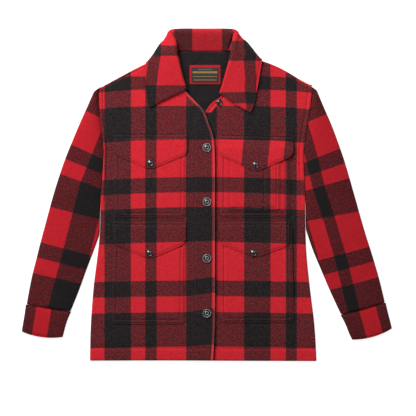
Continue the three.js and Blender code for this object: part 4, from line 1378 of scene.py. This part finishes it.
def flap_grids(flap):
    (start, end), (point_x, _) = flap["x"], flap["point"]
    corner = FLAP_CORNER * np.array([0, 0.03, 0.09, 0.18, 0.28, 0.4, 0.6, 0.8, 1])
    x = joined(start + corner, np.linspace(start + FLAP_CORNER, point_x, 12)[1:],
               np.linspace(point_x, end - FLAP_CORNER, 12)[1:-1], (end - corner)[::-1])[:, None]
    low, high = flap_low(flap, x), flap_top(flap, x)
    from_top = high - np.array(FLAP_TOP_STEPS)[None, :]
    from_low = low + np.array(FLAP_LOW_STEPS)[None, :]
    between = lerp(from_top[:, -1:], from_low[:, :1], np.linspace(0, 1, 8)[None, 1:-1])
    y = np.concatenate([from_top, between, from_low], 1)
    x = x + 0 * y
    return laid_grids(x, y, flap_lift(flap, x, y), PATCH_CLOTH, flap_sunk(flap, x, y))


def flap_surface(flap):
    return lambda x, y: front_top(x, y) + flap_lift(flap, x, y) + PATCH_CLOTH - flap_sunk(flap, x, y)


def flap_lines(flap):
    start, end = flap["x"]
    x = np.linspace(start + EDGE_LINE, end - EDGE_LINE, 60)
    top = flap_top(flap, x)
    edge = np.stack([x, flap_low(flap, x) + EDGE_LINE / FLAP_EDGE_SLANT], -1)
    sides = [[(x[k], top[k] - 12)] for k in (0, -1)]
    lines = [np.concatenate([sides[0], edge, sides[1]])]
    lines += [np.stack([x, top - below], -1) for below in FLAP_TOP_LINES]
    return [on_surface(line, flap_surface(flap)) for line in lines]


# How much larger than its form in the drawing a laid piece's stated flat size is
FLAT_SPARE = 2


def laid_piece(name, grids, uv, width, depth, rests_on, lines):
    """A pocket or flap that lies on a front."""
    flat = ((width + FLAT_SPARE) * MM, (depth + FLAT_SPARE) * MM)
    cloth_piece(name, *grids, uv, MATERIALS["wool"], flat, rests_on=[f"{rests_on}_cloth"], lines=lines)


def add_pockets_and_flaps():
    for name, pocket in POCKETS.items():
        grids = pocket_grids(pocket)
        rests_on = "left_chest_pocket" if name == "pen_pocket" else f"{name.split('_')[0]}_front"
        width, depth = pocket["bottom"][1] - pocket["bottom"][0], pocket["y"][1] - pocket["y"][0]
        laid_piece(name, grids, body_uv(*place_of(grids[0])), width, depth, rests_on, pocket_lines(pocket))
    for name, flap in FLAPS.items():
        grids = flap_grids(flap)
        width, depth = flap["x"][1] - flap["x"][0], flap["top"][0] - flap["point"][1]
        laid_piece(name, grids, leaning_uv(flap, *place_of(grids[0])), width, depth,
                   name.replace("flap", "pocket"), flap_lines(flap))


# Buttons

# Sections from the middle of the face to the underside: distance from the axis and height, as shares of the
# radius
DISHED_BUTTON = ((0, 0.16), (0.14, 0.16), (0.24, 0.22), (0.32, 0.3), (0.4, 0.31), (0.48, 0.27),
                 (0.56, 0.16), (0.68, 0.13), (0.76, 0.2), (0.84, 0.32), (0.9, 0.33), (0.96, 0.28),
                 (0.99, 0.2), (1, 0.12), (0.95, 0.03), (0.8, 0))
DOMED_BUTTON = ((0, 0.46), (0.2, 0.45), (0.4, 0.4), (0.58, 0.32), (0.7, 0.24), (0.78, 0.2), (0.84, 0.23),
                (0.92, 0.24), (0.98, 0.18), (1, 0.1), (0.95, 0.02), (0.8, 0))
BUTTON_SIDES = 64
BUTTON_RINGS = 56
# A button's holes: their sides of its middle, and their place, radius and depth as shares of its radius
HOLES = ((1, 1), (1, -1), (-1, 1), (-1, -1))
HOLE_PLACE = 0.13
HOLE_RADIUS = 0.075
HOLE_DEPTH = 0.1


def button_mesh(name, radius, section, is_holed):
    """A turned button on z = 0, in metres, whose four holes are pressed into its dish."""
    section = np.array(section)
    length = joined(0, np.cumsum(np.hypot(*np.diff(section, axis=0).T)))
    place = np.linspace(0, length[-1], BUTTON_RINGS)[1:, None]
    ring, height = np.interp(place, length, section[:, 0]), np.interp(place, length, section[:, 1])
    turn = np.arange(BUTTON_SIDES)[None, :] * 2 * math.pi / BUTTON_SIDES
    x, y = ring * np.cos(turn), ring * np.sin(turn)
    z = height + 0 * x
    if is_holed:
        for side_x, side_y in HOLES:
            distance = np.hypot(x - side_x * HOLE_PLACE, y - side_y * HOLE_PLACE)
            z -= HOLE_DEPTH * (1 - smooth(distance, 0.6 * HOLE_RADIUS, HOLE_RADIUS)) * (height > 0.1)
    points = np.stack([x, y, z], -1).reshape(-1, 3)
    points = np.concatenate([points, [(0, 0, section[0, 1]), (0, 0, 0)]]) * radius * MM
    faces = grid_quads(len(place), BUTTON_SIDES, 0, is_ring=True)[:, ::-1].tolist()
    first, last = np.arange(BUTTON_SIDES), len(points) - 2 - BUTTON_SIDES + np.arange(BUTTON_SIDES)
    faces += [(len(points) - 2, a, b) for a, b in zip(first.tolist(), np.roll(first, -1).tolist())]
    faces += [(len(points) - 1, b, a) for a, b in zip(last.tolist(), np.roll(last, -1).tolist())]
    mesh = bpy.data.meshes.new(name)
    mesh.from_pydata(points.tolist(), [], faces)
    mesh.shade_smooth()
    return mesh


def button_threads(x, y, z, radius):
    """Two bars of thread, four strands each, across a button's holes."""
    starts, ends = [], []
    for side in (-1, 1):
        for strand in (-1.5, -0.5, 0.5, 1.5):
            along_y = y + side * HOLE_PLACE * radius + strand * STITCH_RADIUS
            starts.append((x - HOLE_PLACE * radius, along_y, z))
            ends.append((x + HOLE_PLACE * radius, along_y, z))
    return np.array(starts), np.array(ends)


# A buttonhole's length, and its stitches' spacing, reach from the slit's middle and end
BUTTONHOLE_LENGTH = 24.0
BUTTONHOLE_PITCH = 0.75
BUTTONHOLE_SLIT = 0.3
BUTTONHOLE_HALF = 1.9


def buttonhole(x, y, surface):
    """Small stitches on both sides of a slit that runs to the left of a place."""
    place = np.linspace(x - BUTTONHOLE_LENGTH, x, int(BUTTONHOLE_LENGTH / BUTTONHOLE_PITCH))
    starts, ends = [], []
    for side in (-1, 1):
        for reach, points in ((BUTTONHOLE_SLIT, starts), (BUTTONHOLE_HALF, ends)):
            edge_y = y + side * reach + 0 * place
            points.append(np.stack([place, edge_y, surface(place, edge_y)], -1))
    return np.concatenate(starts), np.concatenate(ends)


def add_button(node, x, y, seat, radius, section):
    """A button that stands for a CAD node. A dished one has holes and thread."""
    is_holed = section is DISHED_BUTTON
    material = MATERIALS["button" if is_holed else "flap_button"]
    obj = add_object(f"{node}_form", button_mesh(f"{node}_form", radius, section, is_holed), material)
    obj.location = in_row_frame((x, y, seat))
    join_body(obj, "button_black", node)
    if is_holed:
        ends = button_threads(x, y, seat + section[0][1] * radius, radius)
        add_thread(f"{node}_thread", *ends, "dark_thread")


def add_buttons():
    surface = front_surface(RIGHT_FRONT)
    for node, (x, y) in FRONT_BUTTONS.items():
        seat = float(front_top(x, y, True)) + SEAM
        add_button(node, x, y, seat, BUTTON_RADIUS, DISHED_BUTTON)
        add_thread(f"{node}_hole", *buttonhole(x, y, surface), "dark_thread")
    x, y = COLLAR_BUTTON
    seat = float(front_top(x, y, False)) + SEAM
    add_button("collar_button", x, y, seat, FLAP_BUTTON_RADIUS, DISHED_BUTTON)
    for name, flap in FLAPS.items():
        x, y = flap["button"]
        seat = float(front_top(x, y) + flap_lift(flap, x, y)) + PATCH_CLOTH + SEAM
        add_button(f"{name}_button", x, y, seat, FLAP_BUTTON_RADIUS, DOMED_BUTTON)


# Neck lining and label

def neck_sheet_grids(place, low, thickness, columns, rows):
    x = np.linspace(*place["x"], columns)[None, :] + np.zeros((rows, 1))
    y = np.linspace(*place["y"], rows)[:, None] + 0 * x
    z = low + neck_rise(x, y)
    return np.stack([x, y, z + thickness], -1), np.stack([x, y, z], -1)


# How far in from the label's and its backing's edges their stitches run
LABEL_LINE = 1.5


def sheet_outline(place, surface):
    """A line round a sheet, inset from its edges."""
    (low_x, high_x), (low_y, high_y) = place["x"], place["y"]
    x, y = (low_x + LABEL_LINE, high_x - LABEL_LINE), (low_y + LABEL_LINE, high_y - LABEL_LINE)
    corners = [(x[0], y[0]), (x[1], y[0]), (x[1], y[1]), (x[0], y[1]), (x[0], y[0])]
    return on_surface(corners, surface)


# What lies inside the neck, from the back up: node, place, gap under it, thickness, material, slot, and its
# grid's columns and rows
NECK_SHEETS = (
    ("neck_lining", NECK_LINING, LINING_GAP, LINING, "lining", "lining_cloth", 30, 36),
    ("label_patch", LABEL_PATCH, SEAM, LABEL_PATCH["cloth"], "patch", "label_patch", 20, 14),
    ("label", LABEL, SEAM, LABEL["cloth"], "label", "label_cloth", 18, 12),
)


def add_neck():
    top, under = CLOTH, "back"
    for name, place, gap, thickness, material, slot, columns, rows in NECK_SHEETS:
        low = top + gap
        top = low + thickness
        outer, inner = neck_sheet_grids(place, low, thickness, columns, rows)
        (low_x, high_x), (low_y, high_y) = place["x"], place["y"]
        uv = outer[..., :2] - np.array([low_x, low_y])
        surface = lambda x, y: top + neck_rise(x, y)
        lines = [] if name == "neck_lining" else [sheet_outline(place, surface)]
        flat = ((high_x - low_x) * MM, (high_y - low_y) * MM)
        cloth_piece(name, outer, inner, uv, MATERIALS[material], flat, slot=slot,
                    rests_on=[f"{under}_cloth"], lines=lines)
        under = name


# Materials

def new_material(name):
    material = bpy.data.materials.new(name)
    material.use_nodes = True
    tree = material.node_tree
    shader = tree.nodes["Principled BSDF"]
    return material, tree, shader


def add_node(tree, kind, inputs=None, **settings):
    """A node with its settings, whose inputs are values or other nodes' outputs."""
    node = tree.nodes.new(kind)
    for key, value in settings.items():
        setattr(node, key, value)
    for key, value in (inputs or {}).items():
        if isinstance(value, bpy.types.NodeSocket):
            tree.links.new(value, node.inputs[key])
        else:
            node.inputs[key].default_value = value
    return node


def math_node(tree, operation, a, b=0.0, c=0.0, clamp=False):
    inputs = {0: a, 1: b, 2: c}
    return add_node(tree, "ShaderNodeMath", inputs, operation=operation, use_clamp=clamp).outputs[0]


def vector_node(tree, operation, a, b):
    return add_node(tree, "ShaderNodeVectorMath", {0: a, 1: b}, operation=operation).outputs[0]


def ramp_node(tree, factor, stops):
    node = add_node(tree, "ShaderNodeValToRGB", {"Fac": factor})
    elements = node.color_ramp.elements
    while len(elements) < len(stops):
        elements.new(0.5)
    for element, (position, colour) in zip(elements, stops):
        element.position = position
        element.color = (*colour, 1)
    return node.outputs["Color"]


def noise_node(tree, scale, detail, roughness=0.6, place=None):
    """Noise in the object's own space, with scale in features a metre."""
    place = place or add_node(tree, "ShaderNodeTexCoord").outputs["Object"]
    settings = {"Vector": place, "Scale": scale, "Detail": detail, "Roughness": roughness}
    return add_node(tree, "ShaderNodeTexNoise", settings).outputs


def map_range(tree, value, low, high, to_low=0.0, to_high=1.0):
    inputs = {"Value": value, "From Min": low, "From Max": high, "To Min": to_low, "To Max": to_high}
    return add_node(tree, "ShaderNodeMapRange", inputs).outputs[0]


def axes_of(tree, map_name):
    """A UV map's two coordinates, in metres."""
    place = add_node(tree, "ShaderNodeUVMap", uv_map=map_name).outputs["UV"]
    return add_node(tree, "ShaderNodeSeparateXYZ", {0: place}).outputs


def set_values(shader, values):
    for key, value in values.items():
        shader.inputs[key].default_value = value


def set_surface(tree, shader, colour, relief, bump, values):
    """A shader's colour, its bump from a relief, as strength and depth in metres, and its plain values."""
    strength, depth = bump
    node = add_node(tree, "ShaderNodeBump", {"Height": relief, "Strength": strength, "Distance": depth})
    tree.links.new(node.outputs["Normal"], shader.inputs["Normal"])
    tree.links.new(colour, shader.inputs["Base Color"])
    set_values(shader, values)


def srgb(*levels):
    """Linear colour of a display colour in levels from 0 to 255."""
    share = np.array(levels) / 255
    return tuple(np.where(share <= 0.04045, share / 12.92, ((share + 0.055) / 1.055) ** 2.4).tolist())


def shaded(colour, shade):
    return tuple(shade * level for level in colour)


# How wide the change from one stripe to the next is
STRIPE_BLUR = 0.8


def stripe_mask(tree, place, stripes):
    """1 on the black stripes of a repeat and 0 on the red ones, at a place in metres along the cloth."""
    repeat = sum(width for width, _ in stripes)
    share = math_node(tree, "DIVIDE", math_node(tree, "WRAP", place, repeat * MM, 0.0), repeat * MM)
    edges = stripe_edges(stripes, len(stripes))
    stops = []
    for (_, is_black), low, high in zip(stripes, edges, edges[1:]):
        value = (1.0,) * 3 if is_black else (0.0,) * 3
        stops.append(((low + STRIPE_BLUR / 2) / repeat, value))
        stops.append(((high - STRIPE_BLUR / 2) / repeat, value))
    return ramp_node(tree, share, stops)


# The wool: its yarns' colours, how far apart its twill lines are, and how far stray fibres blur a stripe's
# edge
RED_YARN = srgb(188, 27, 39)
MIXED_YARN = srgb(62, 25, 28)
BLACK_YARN = srgb(22, 19, 20)
TWILL_PITCH = 2.4
FIBRE_BLUR = 0.002
# Noises of the wool, as features a metre, detail and roughness: its stray fibres, the heather of its mixed
# yarns and how that is stretched along the cloth, its mottle, its nap and the nap's pale ends
FIBRES = (420.0, 2.0)
HEATHER = (400.0, 3.0, 0.75)
HEATHER_STRETCH = (1.25, 0.7, 1.0)
MOTTLE = (150.0, 3.0, 0.6)
NAP = (1100.0, 2.0, 0.7)
PALE_ENDS = (330.0, 2.0, 0.8)
# The colour of the nap's pale ends, partly the wool's own lint and partly painted sheen, how much of them
# shows on most cloth and, fewer as painted shade, on the sleeves, how much more of them shows as a painted
# highlight along the over-front's edge, and that edge's width
FUZZ_COLOUR = (0.42, 0.33, 0.33, 1)
FUZZ = 0.065
SLEEVE_FUZZ_IN_PAINTED_SHADE = 0.025
RIM_PAINTED_HIGHLIGHT = 0.1
RIM_WIDTH = 5.5
# The under-front's facing: the width of the strip along its opening whose columns are red, and the y above
# which its rows are red too, and how far its side and its end are blurred
FACING_STRIP = (13.0, 188.0)
STRIP_BLUR = 0.6
STRIP_END = 2.0
# Painted shade on the cloth's colour: how light it is kept on the sleeves, the collar and its stand inside
# the neck, and the painted shadow beside the over-front's edge, how wide that painted shadow is and over
# what length it ends
SLEEVE_PAINTED_SHADE = 0.74
COLLAR_PAINTED_SHADE = 0.94
STAND_PAINTED_SHADE = 0.66
FOLD_PAINTED_SHADOW = 0.3
FOLD_WIDTH = 9.0
FOLD_END = 10.0
WOOL_BUMP = (0.55, 0.0007)
WOOL = {"Roughness": 0.95, "Specular IOR Level": 0.08, "Sheen Weight": 0.04, "Sheen Roughness": 0.5,
        "Sheen Tint": (1.0, 0.75, 0.75, 1)}


def twill_lines(tree, axes, pitch):
    """A wave from -1 to 1 across a cloth's diagonal lines."""
    diagonal = math_node(tree, "ADD", axes[0], axes[1])
    return math_node(tree, "SINE", math_node(tree, "MULTIPLY", diagonal, 2 * math.pi / (pitch * MM)))


def blurred_axes(tree, cloth):
    """The cloth's two coordinates, moved about by stray fibres."""
    stray = vector_node(tree, "SUBTRACT", noise_node(tree, *FIBRES)["Color"], (0.5, 0.5, 0.5))
    stray = vector_node(tree, "MULTIPLY", stray, (FIBRE_BLUR, FIBRE_BLUR, 0))
    return add_node(tree, "ShaderNodeSeparateXYZ", {0: vector_node(tree, "ADD", cloth, stray)}).outputs


def red_strip(tree, columns, rows, edge, width, from_y):
    """The masks of columns and rows, with none of the black on a strip along the opening."""
    off_strip = map_range(tree, edge[0], (width - STRIP_BLUR) * MM, (width + STRIP_BLUR) * MM)
    if from_y:
        below = map_range(tree, edge[1], (from_y - STRIP_END) * MM, (from_y + STRIP_END) * MM, 1.0, 0.0)
        off_strip = math_node(tree, "MAXIMUM", off_strip, below)
        rows = math_node(tree, "MULTIPLY", rows, off_strip)
    return math_node(tree, "MULTIPLY", columns, off_strip), rows


def painted_fold_shadow(tree, edge):
    """How light the cloth is kept beside the over-front's edge by a painted shadow, up to the fold's top.
    """
    in_fold = map_range(tree, edge[0], 0.0, FOLD_WIDTH * MM, FOLD_PAINTED_SHADOW, 1.0)
    above = map_range(tree, edge[1], (FOLD_TOP - FOLD_END) * MM, FOLD_TOP * MM)
    return math_node(tree, "MAXIMUM", in_fold, above)


def plaid_material(name, shade=1.0, fuzz=FUZZ, strip=None, has_painted_fold_shadow=False, has_painted_stand_shade=False):
    """Brushed wool plaid, with a strip along its opening, as FACING_STRIP says; shade darkens its red and
    mixed yarns as painted shade, and it may carry a painted fold shadow, the stand's painted shade or a
    painted highlight along its edge.
    """
    material, tree, shader = new_material(name)
    cloth = add_node(tree, "ShaderNodeUVMap", uv_map="cloth").outputs["UV"]
    axes = blurred_axes(tree, cloth)
    columns = stripe_mask(tree, axes[0], COLUMN_STRIPES)
    rows = stripe_mask(tree, axes[1], ROW_STRIPES)
    edge = axes_of(tree, "edge") if strip or has_painted_stand_shade else None
    if strip:
        columns, rows = red_strip(tree, columns, rows, edge, *strip)
    twill = twill_lines(tree, axes, TWILL_PITCH)
    heather = noise_node(tree, *HEATHER, place=vector_node(tree, "MULTIPLY", cloth, HEATHER_STRETCH))["Fac"]
    nap = noise_node(tree, *NAP)["Fac"]
    weave = math_node(tree, "MULTIPLY_ADD", heather, 2.0, -0.5)
    weave = math_node(tree, "MULTIPLY_ADD", twill, 0.1, weave, clamp=True)
    mixed = add_node(tree, "ShaderNodeMix", {0: weave, 2: columns, 3: rows}, data_type="FLOAT").outputs[0]
    yarns = ((0.0, shaded(RED_YARN, shade)), (0.5, shaded(MIXED_YARN, shade)), (1.0, BLACK_YARN))
    light = math_node(tree, "MULTIPLY_ADD", noise_node(tree, *MOTTLE)["Fac"], 0.5, 0.75)
    light = math_node(tree, "MULTIPLY", light, math_node(tree, "MULTIPLY_ADD", nap, 0.5, 0.75))
    # Painted shadow beside the over-front's edge
    if has_painted_fold_shadow:
        light = math_node(tree, "MULTIPLY", light, painted_fold_shadow(tree, edge))
    # Painted shade on the collar's stand inside the neck
    if has_painted_stand_shade:
        light = math_node(tree, "MULTIPLY", light, map_range(tree, edge[0], 0.0, MM, STAND_PAINTED_SHADE, 1.0))
    grey = add_node(tree, "ShaderNodeCombineXYZ", {0: light, 1: light, 2: light}).outputs[0]
    colour = vector_node(tree, "MULTIPLY", ramp_node(tree, mixed, yarns), grey)
    ends = map_range(tree, noise_node(tree, *PALE_ENDS)["Fac"], 0.4, 0.8, 0.0, fuzz)
    # Painted highlight: more pale ends along the over-front's opening edge
    if strip and not has_painted_fold_shadow:
        wear_and_painted_highlight = map_range(tree, edge[0], 0.0, RIM_WIDTH * MM, RIM_PAINTED_HIGHLIGHT, 0.0)
        ends = math_node(tree, "ADD", ends, wear_and_painted_highlight)
    mix = {0: ends, 6: colour, 7: FUZZ_COLOUR}
    colour = add_node(tree, "ShaderNodeMix", mix, data_type="RGBA").outputs[2]
    relief = math_node(tree, "MULTIPLY_ADD", twill, 0.12, nap)
    relief = math_node(tree, "MULTIPLY_ADD", heather, 1.2, relief)
    set_surface(tree, shader, colour, relief, WOOL_BUMP, WOOL)
    return material


# The lining: its colours, its twill lines' spacing, and how high its soft wrinkles are
LINING_BLACK = srgb(26, 23, 24)
LINING_DARK = srgb(14, 12, 13)
LINING_PITCH = 1.6
LINING_WRINKLES = 14.0


def lining_material(name):
    """A plain woven cloth whose diagonal lines show as a shade and a bump, with soft wrinkles."""
    material, tree, shader = new_material(name)
    twill = twill_lines(tree, axes_of(tree, "cloth"), LINING_PITCH)
    share = math_node(tree, "MULTIPLY_ADD", twill, 0.2, noise_node(tree, 700.0, 3.0)["Fac"])
    wrinkles = noise_node(tree, 22.0, 2.0, 0.5)["Fac"]
    relief = math_node(tree, "MULTIPLY_ADD", wrinkles, LINING_WRINKLES, share)
    colour = ramp_node(tree, share, ((0.25, LINING_DARK), (0.75, LINING_BLACK)))
    set_surface(tree, shader, colour, relief, (0.8, 0.0008), {"Roughness": 0.7, "Specular IOR Level": 0.18})
    return material


# The patch under the label: a felt whose right and lower border lies in its own shade
PATCH_RED = srgb(176, 16, 32)
PATCH_DARK = srgb(92, 12, 22)
PATCH_BORDER = 3.4


def patch_material(name):
    """Red felt with a darker border at its right and bottom."""
    material, tree, shader = new_material(name)
    x, y, _ = axes_of(tree, "cloth")
    from_x = LABEL_PATCH["x"][1] - LABEL_PATCH["x"][0] - PATCH_BORDER
    by_right = map_range(tree, x, (from_x - 0.5) * MM, (from_x + 0.5) * MM)
    by_bottom = map_range(tree, y, (PATCH_BORDER - 1.5) * MM, (PATCH_BORDER - 0.5) * MM, 1.0, 0.0)
    felt = noise_node(tree, 900.0, 4.0, 0.7)["Fac"]
    border = math_node(tree, "MAXIMUM", by_right, by_bottom)
    share = math_node(tree, "MULTIPLY_ADD", math_node(tree, "SUBTRACT", felt, 0.5), 0.6, border, clamp=True)
    colour = ramp_node(tree, share, ((0.0, PATCH_RED), (1.0, PATCH_DARK)))
    set_surface(tree, shader, colour, felt, (0.5, 0.0004),
                {"Roughness": 0.9, "Specular IOR Level": 0.15, "Sheen Weight": 0.1})
    return material


# The label's colours, its plain gold rules as low and high y from its bottom edge and how much of its width
# they run across, and how wide its ribs and the blur of its rules are
LABEL_BLACK = srgb(40, 37, 36)
LABEL_GOLD = srgb(150, 116, 58)
LABEL_RULES = ((5, 6.4, 0.84), (13, 14.4, 0.88), (21, 25.5, 0.9), (29.4, 30.4, 0.5))


LABEL_RIB = 0.8
LABEL_BLUR = 0.2


def within(tree, distance, half):
    """1 up to a distance and 0 past it, with a narrow blur."""
    return map_range(tree, distance, (half - LABEL_BLUR) * MM, (half + LABEL_BLUR) * MM, 1.0, 0.0)


def label_material(name):
    """Black woven cloth with plain gold rules."""
    material, tree, shader = new_material(name)
    x, y, _ = axes_of(tree, "cloth")
    middle = (LABEL["x"][1] - LABEL["x"][0]) / 2
    from_middle = math_node(tree, "ABSOLUTE", math_node(tree, "SUBTRACT", x, middle * MM))
    gold = 0.0
    for low, high, share in LABEL_RULES:
        away = math_node(tree, "ABSOLUTE", math_node(tree, "SUBTRACT", y, (low + high) / 2 * MM))
        rule = within(tree, away, (high - low) / 2)
        reach = within(tree, from_middle, share * middle)
        gold = math_node(tree, "MAXIMUM", gold, math_node(tree, "MULTIPLY", rule, reach))
    ribs = math_node(tree, "SINE", math_node(tree, "MULTIPLY", x, 2 * math.pi / (LABEL_RIB * MM)))
    wear_and_painted_highlight = math_node(tree, "MULTIPLY_ADD", noise_node(tree, 500.0, 2.0)["Fac"], 0.7, 0.4, clamp=True)
    share = math_node(tree, "MULTIPLY", gold, wear_and_painted_highlight)
    colour = ramp_node(tree, share, ((0.0, LABEL_BLACK), (1.0, LABEL_GOLD)))
    relief = math_node(tree, "MULTIPLY_ADD", ribs, 0.3, gold)
    set_surface(tree, shader, colour, relief, (0.5, 0.0003), {"Roughness": 0.6, "Specular IOR Level": 0.3})
    return material


# Height over a button's underside between which its black turns to the lighter colour of a painted
# highlight on its raised rims
BUTTON_CREST = (2.5, 3.3)
BUTTON_BLACK = srgb(10, 10, 12)
CREST_HIGHLIGHT_GREY = srgb(158, 158, 160)
CREST_HIGHLIGHT_BLACK = srgb(30, 30, 33)


def button_material(name, edge):
    """Polished black plastic with faint scuffs, whose raised rims get a painted highlight in the colour
    edge by their height.
    """
    material, tree, shader = new_material(name)
    scuffs = noise_node(tree, 260.0, 5.0, 0.7)["Fac"]
    where = add_node(tree, "ShaderNodeTexCoord").outputs["Object"]
    height = add_node(tree, "ShaderNodeSeparateXYZ", {0: where}).outputs[2]
    # Painted highlight: the raised rims turn lighter by their height
    crest = map_range(tree, height, BUTTON_CREST[0] * MM, BUTTON_CREST[1] * MM)
    wear_and_painted_highlight = math_node(tree, "MULTIPLY", crest, math_node(tree, "MULTIPLY_ADD", scuffs, 0.8, 0.4))
    colour = ramp_node(tree, wear_and_painted_highlight, ((0.0, BUTTON_BLACK), (1.0, edge)))
    tree.links.new(map_range(tree, scuffs, 0.35, 0.75, 0.08, 0.22), shader.inputs["Roughness"])
    set_surface(tree, shader, colour, scuffs, (0.15, 0.0002),
                {"Specular IOR Level": 0.6, "Coat Weight": 1.0, "Coat Roughness": 0.05})
    return material


def thread_material(name, colour, dark):
    """Twisted sewing thread."""
    material, tree, shader = new_material(name)
    fibres = noise_node(tree, 1500.0, 2.0)["Fac"]
    mixed = ramp_node(tree, fibres, ((0.3, dark), (0.7, colour)))
    set_surface(tree, shader, mixed, fibres, (0.4, 0.0002), {"Roughness": 0.55, "Specular IOR Level": 0.35})
    return material


def make_materials():
    return {
        "wool": plaid_material("plaid_wool"),
        # The sleeves' and cuffs' wool is a copy of the plaid darkened as painted shade
        "sleeve_wool_painted_shade": plaid_material("plaid_wool_sleeve_painted_shade", SLEEVE_PAINTED_SHADE, SLEEVE_FUZZ_IN_PAINTED_SHADE),
        # The collar's wool is a copy of the plaid darkened as painted shade, with more painted shade on its
        # stand
        "collar_wool_painted_shade": plaid_material("plaid_wool_collar_painted_shade", COLLAR_PAINTED_SHADE, has_painted_stand_shade=True),
        # The over-front's wool has a painted highlight along its opening edge
        "over_front": plaid_material("plaid_wool_over_front_painted_highlight", strip=(RIM_WIDTH, None)),
        # The under-front's wool has a painted shadow beside the over-front's edge
        "under_front": plaid_material("plaid_wool_under_front_painted_shadow", strip=FACING_STRIP, has_painted_fold_shadow=True),
        "lining": lining_material("lining"),
        "patch": patch_material("label_patch"),
        "label": label_material("label"),
        # Both button materials have a painted highlight on their raised rims
        "button": button_material("button_black", CREST_HIGHLIGHT_GREY),
        "flap_button": button_material("flap_button_black", CREST_HIGHLIGHT_BLACK),
        "thread": thread_material("seam_thread", srgb(84, 24, 29), srgb(46, 15, 18)),
        "dark_thread": thread_material("black_thread", srgb(38, 34, 36), srgb(18, 16, 17)),
    }


# The stage

# The photo: pixels along each side, millimetres to a pixel, and its centre in the drawing frame
PHOTO_PIXELS = 416
PIXEL = 2.3
PHOTO_CENTRE = (10.35, -30.8)
CAMERA_HEIGHT = 3.2
# The lights: place, size and power
KEY_LIGHT = (-1.2, 1.5, 1.8), 1.7, 104
FILL_LIGHT = (1.3, 1.0, 1.7), 1.2, 9
WORLD_LIGHT = 0.2
# The white floor: half its side, its grey, and its glow
FLOOR_HALF = 4
FLOOR_GREY = 0.35
FLOOR_GLOW = 0.88


def add_camera():
    data = bpy.data.cameras.new("camera")
    data.sensor_width = 36
    data.lens = data.sensor_width * CAMERA_HEIGHT / (PHOTO_PIXELS * PIXEL * MM)
    camera = bpy.data.objects.new("camera", data)
    x, y, _ = in_row_frame([*PHOTO_CENTRE, 0])
    camera.location = (x, y, CAMERA_HEIGHT)
    bpy.context.scene.collection.objects.link(camera)
    bpy.context.scene.camera = camera


def add_light(name, location, size, power):
    data = bpy.data.lights.new(name, "AREA")
    data.shape = "SQUARE"
    data.size = size
    data.energy = power
    light = bpy.data.objects.new(name, data)
    light.location = location
    x, y, z = location
    light.rotation_euler = (0, math.atan2(math.hypot(x, y), z), math.atan2(y, x))
    bpy.context.scene.collection.objects.link(light)


def add_stage():
    world = bpy.data.worlds.new("studio")
    world.use_nodes = True
    set_values(world.node_tree.nodes["Background"], {"Color": (1, 1, 1, 1), "Strength": WORLD_LIGHT})
    bpy.context.scene.world = world
    add_light("key", *KEY_LIGHT)
    add_light("fill", *FILL_LIGHT)
    material, _, shader = new_material("floor")
    set_values(shader, {"Base Color": (FLOOR_GREY, FLOOR_GREY, FLOOR_GREY, 1), "Roughness": 0.9,
                        "Specular IOR Level": 0.0, "Emission Color": (1, 1, 1, 1),
                        "Emission Strength": FLOOR_GLOW})
    mesh = bpy.data.meshes.new("floor")
    corners = [(x * FLOOR_HALF, y * FLOOR_HALF, 0) for x, y in ((-1, -1), (1, -1), (1, 1), (-1, 1))]
    mesh.from_pydata(corners, [], [(0, 1, 2, 3)])
    add_object("floor", mesh, material)
    bpy.context.scene.view_settings.view_transform = "Standard"


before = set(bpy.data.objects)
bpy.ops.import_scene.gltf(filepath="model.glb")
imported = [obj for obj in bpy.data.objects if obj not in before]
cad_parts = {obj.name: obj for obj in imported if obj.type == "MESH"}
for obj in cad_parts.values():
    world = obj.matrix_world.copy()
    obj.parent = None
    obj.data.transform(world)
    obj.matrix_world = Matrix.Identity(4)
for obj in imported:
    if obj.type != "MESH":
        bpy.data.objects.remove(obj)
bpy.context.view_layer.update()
SHIFT = drawing_shift()
MATERIALS = make_materials()
add_body()
add_sleeves()
add_cuffs()
add_collar()
add_pockets_and_flaps()
add_buttons()
add_neck()
add_camera()
add_stage()
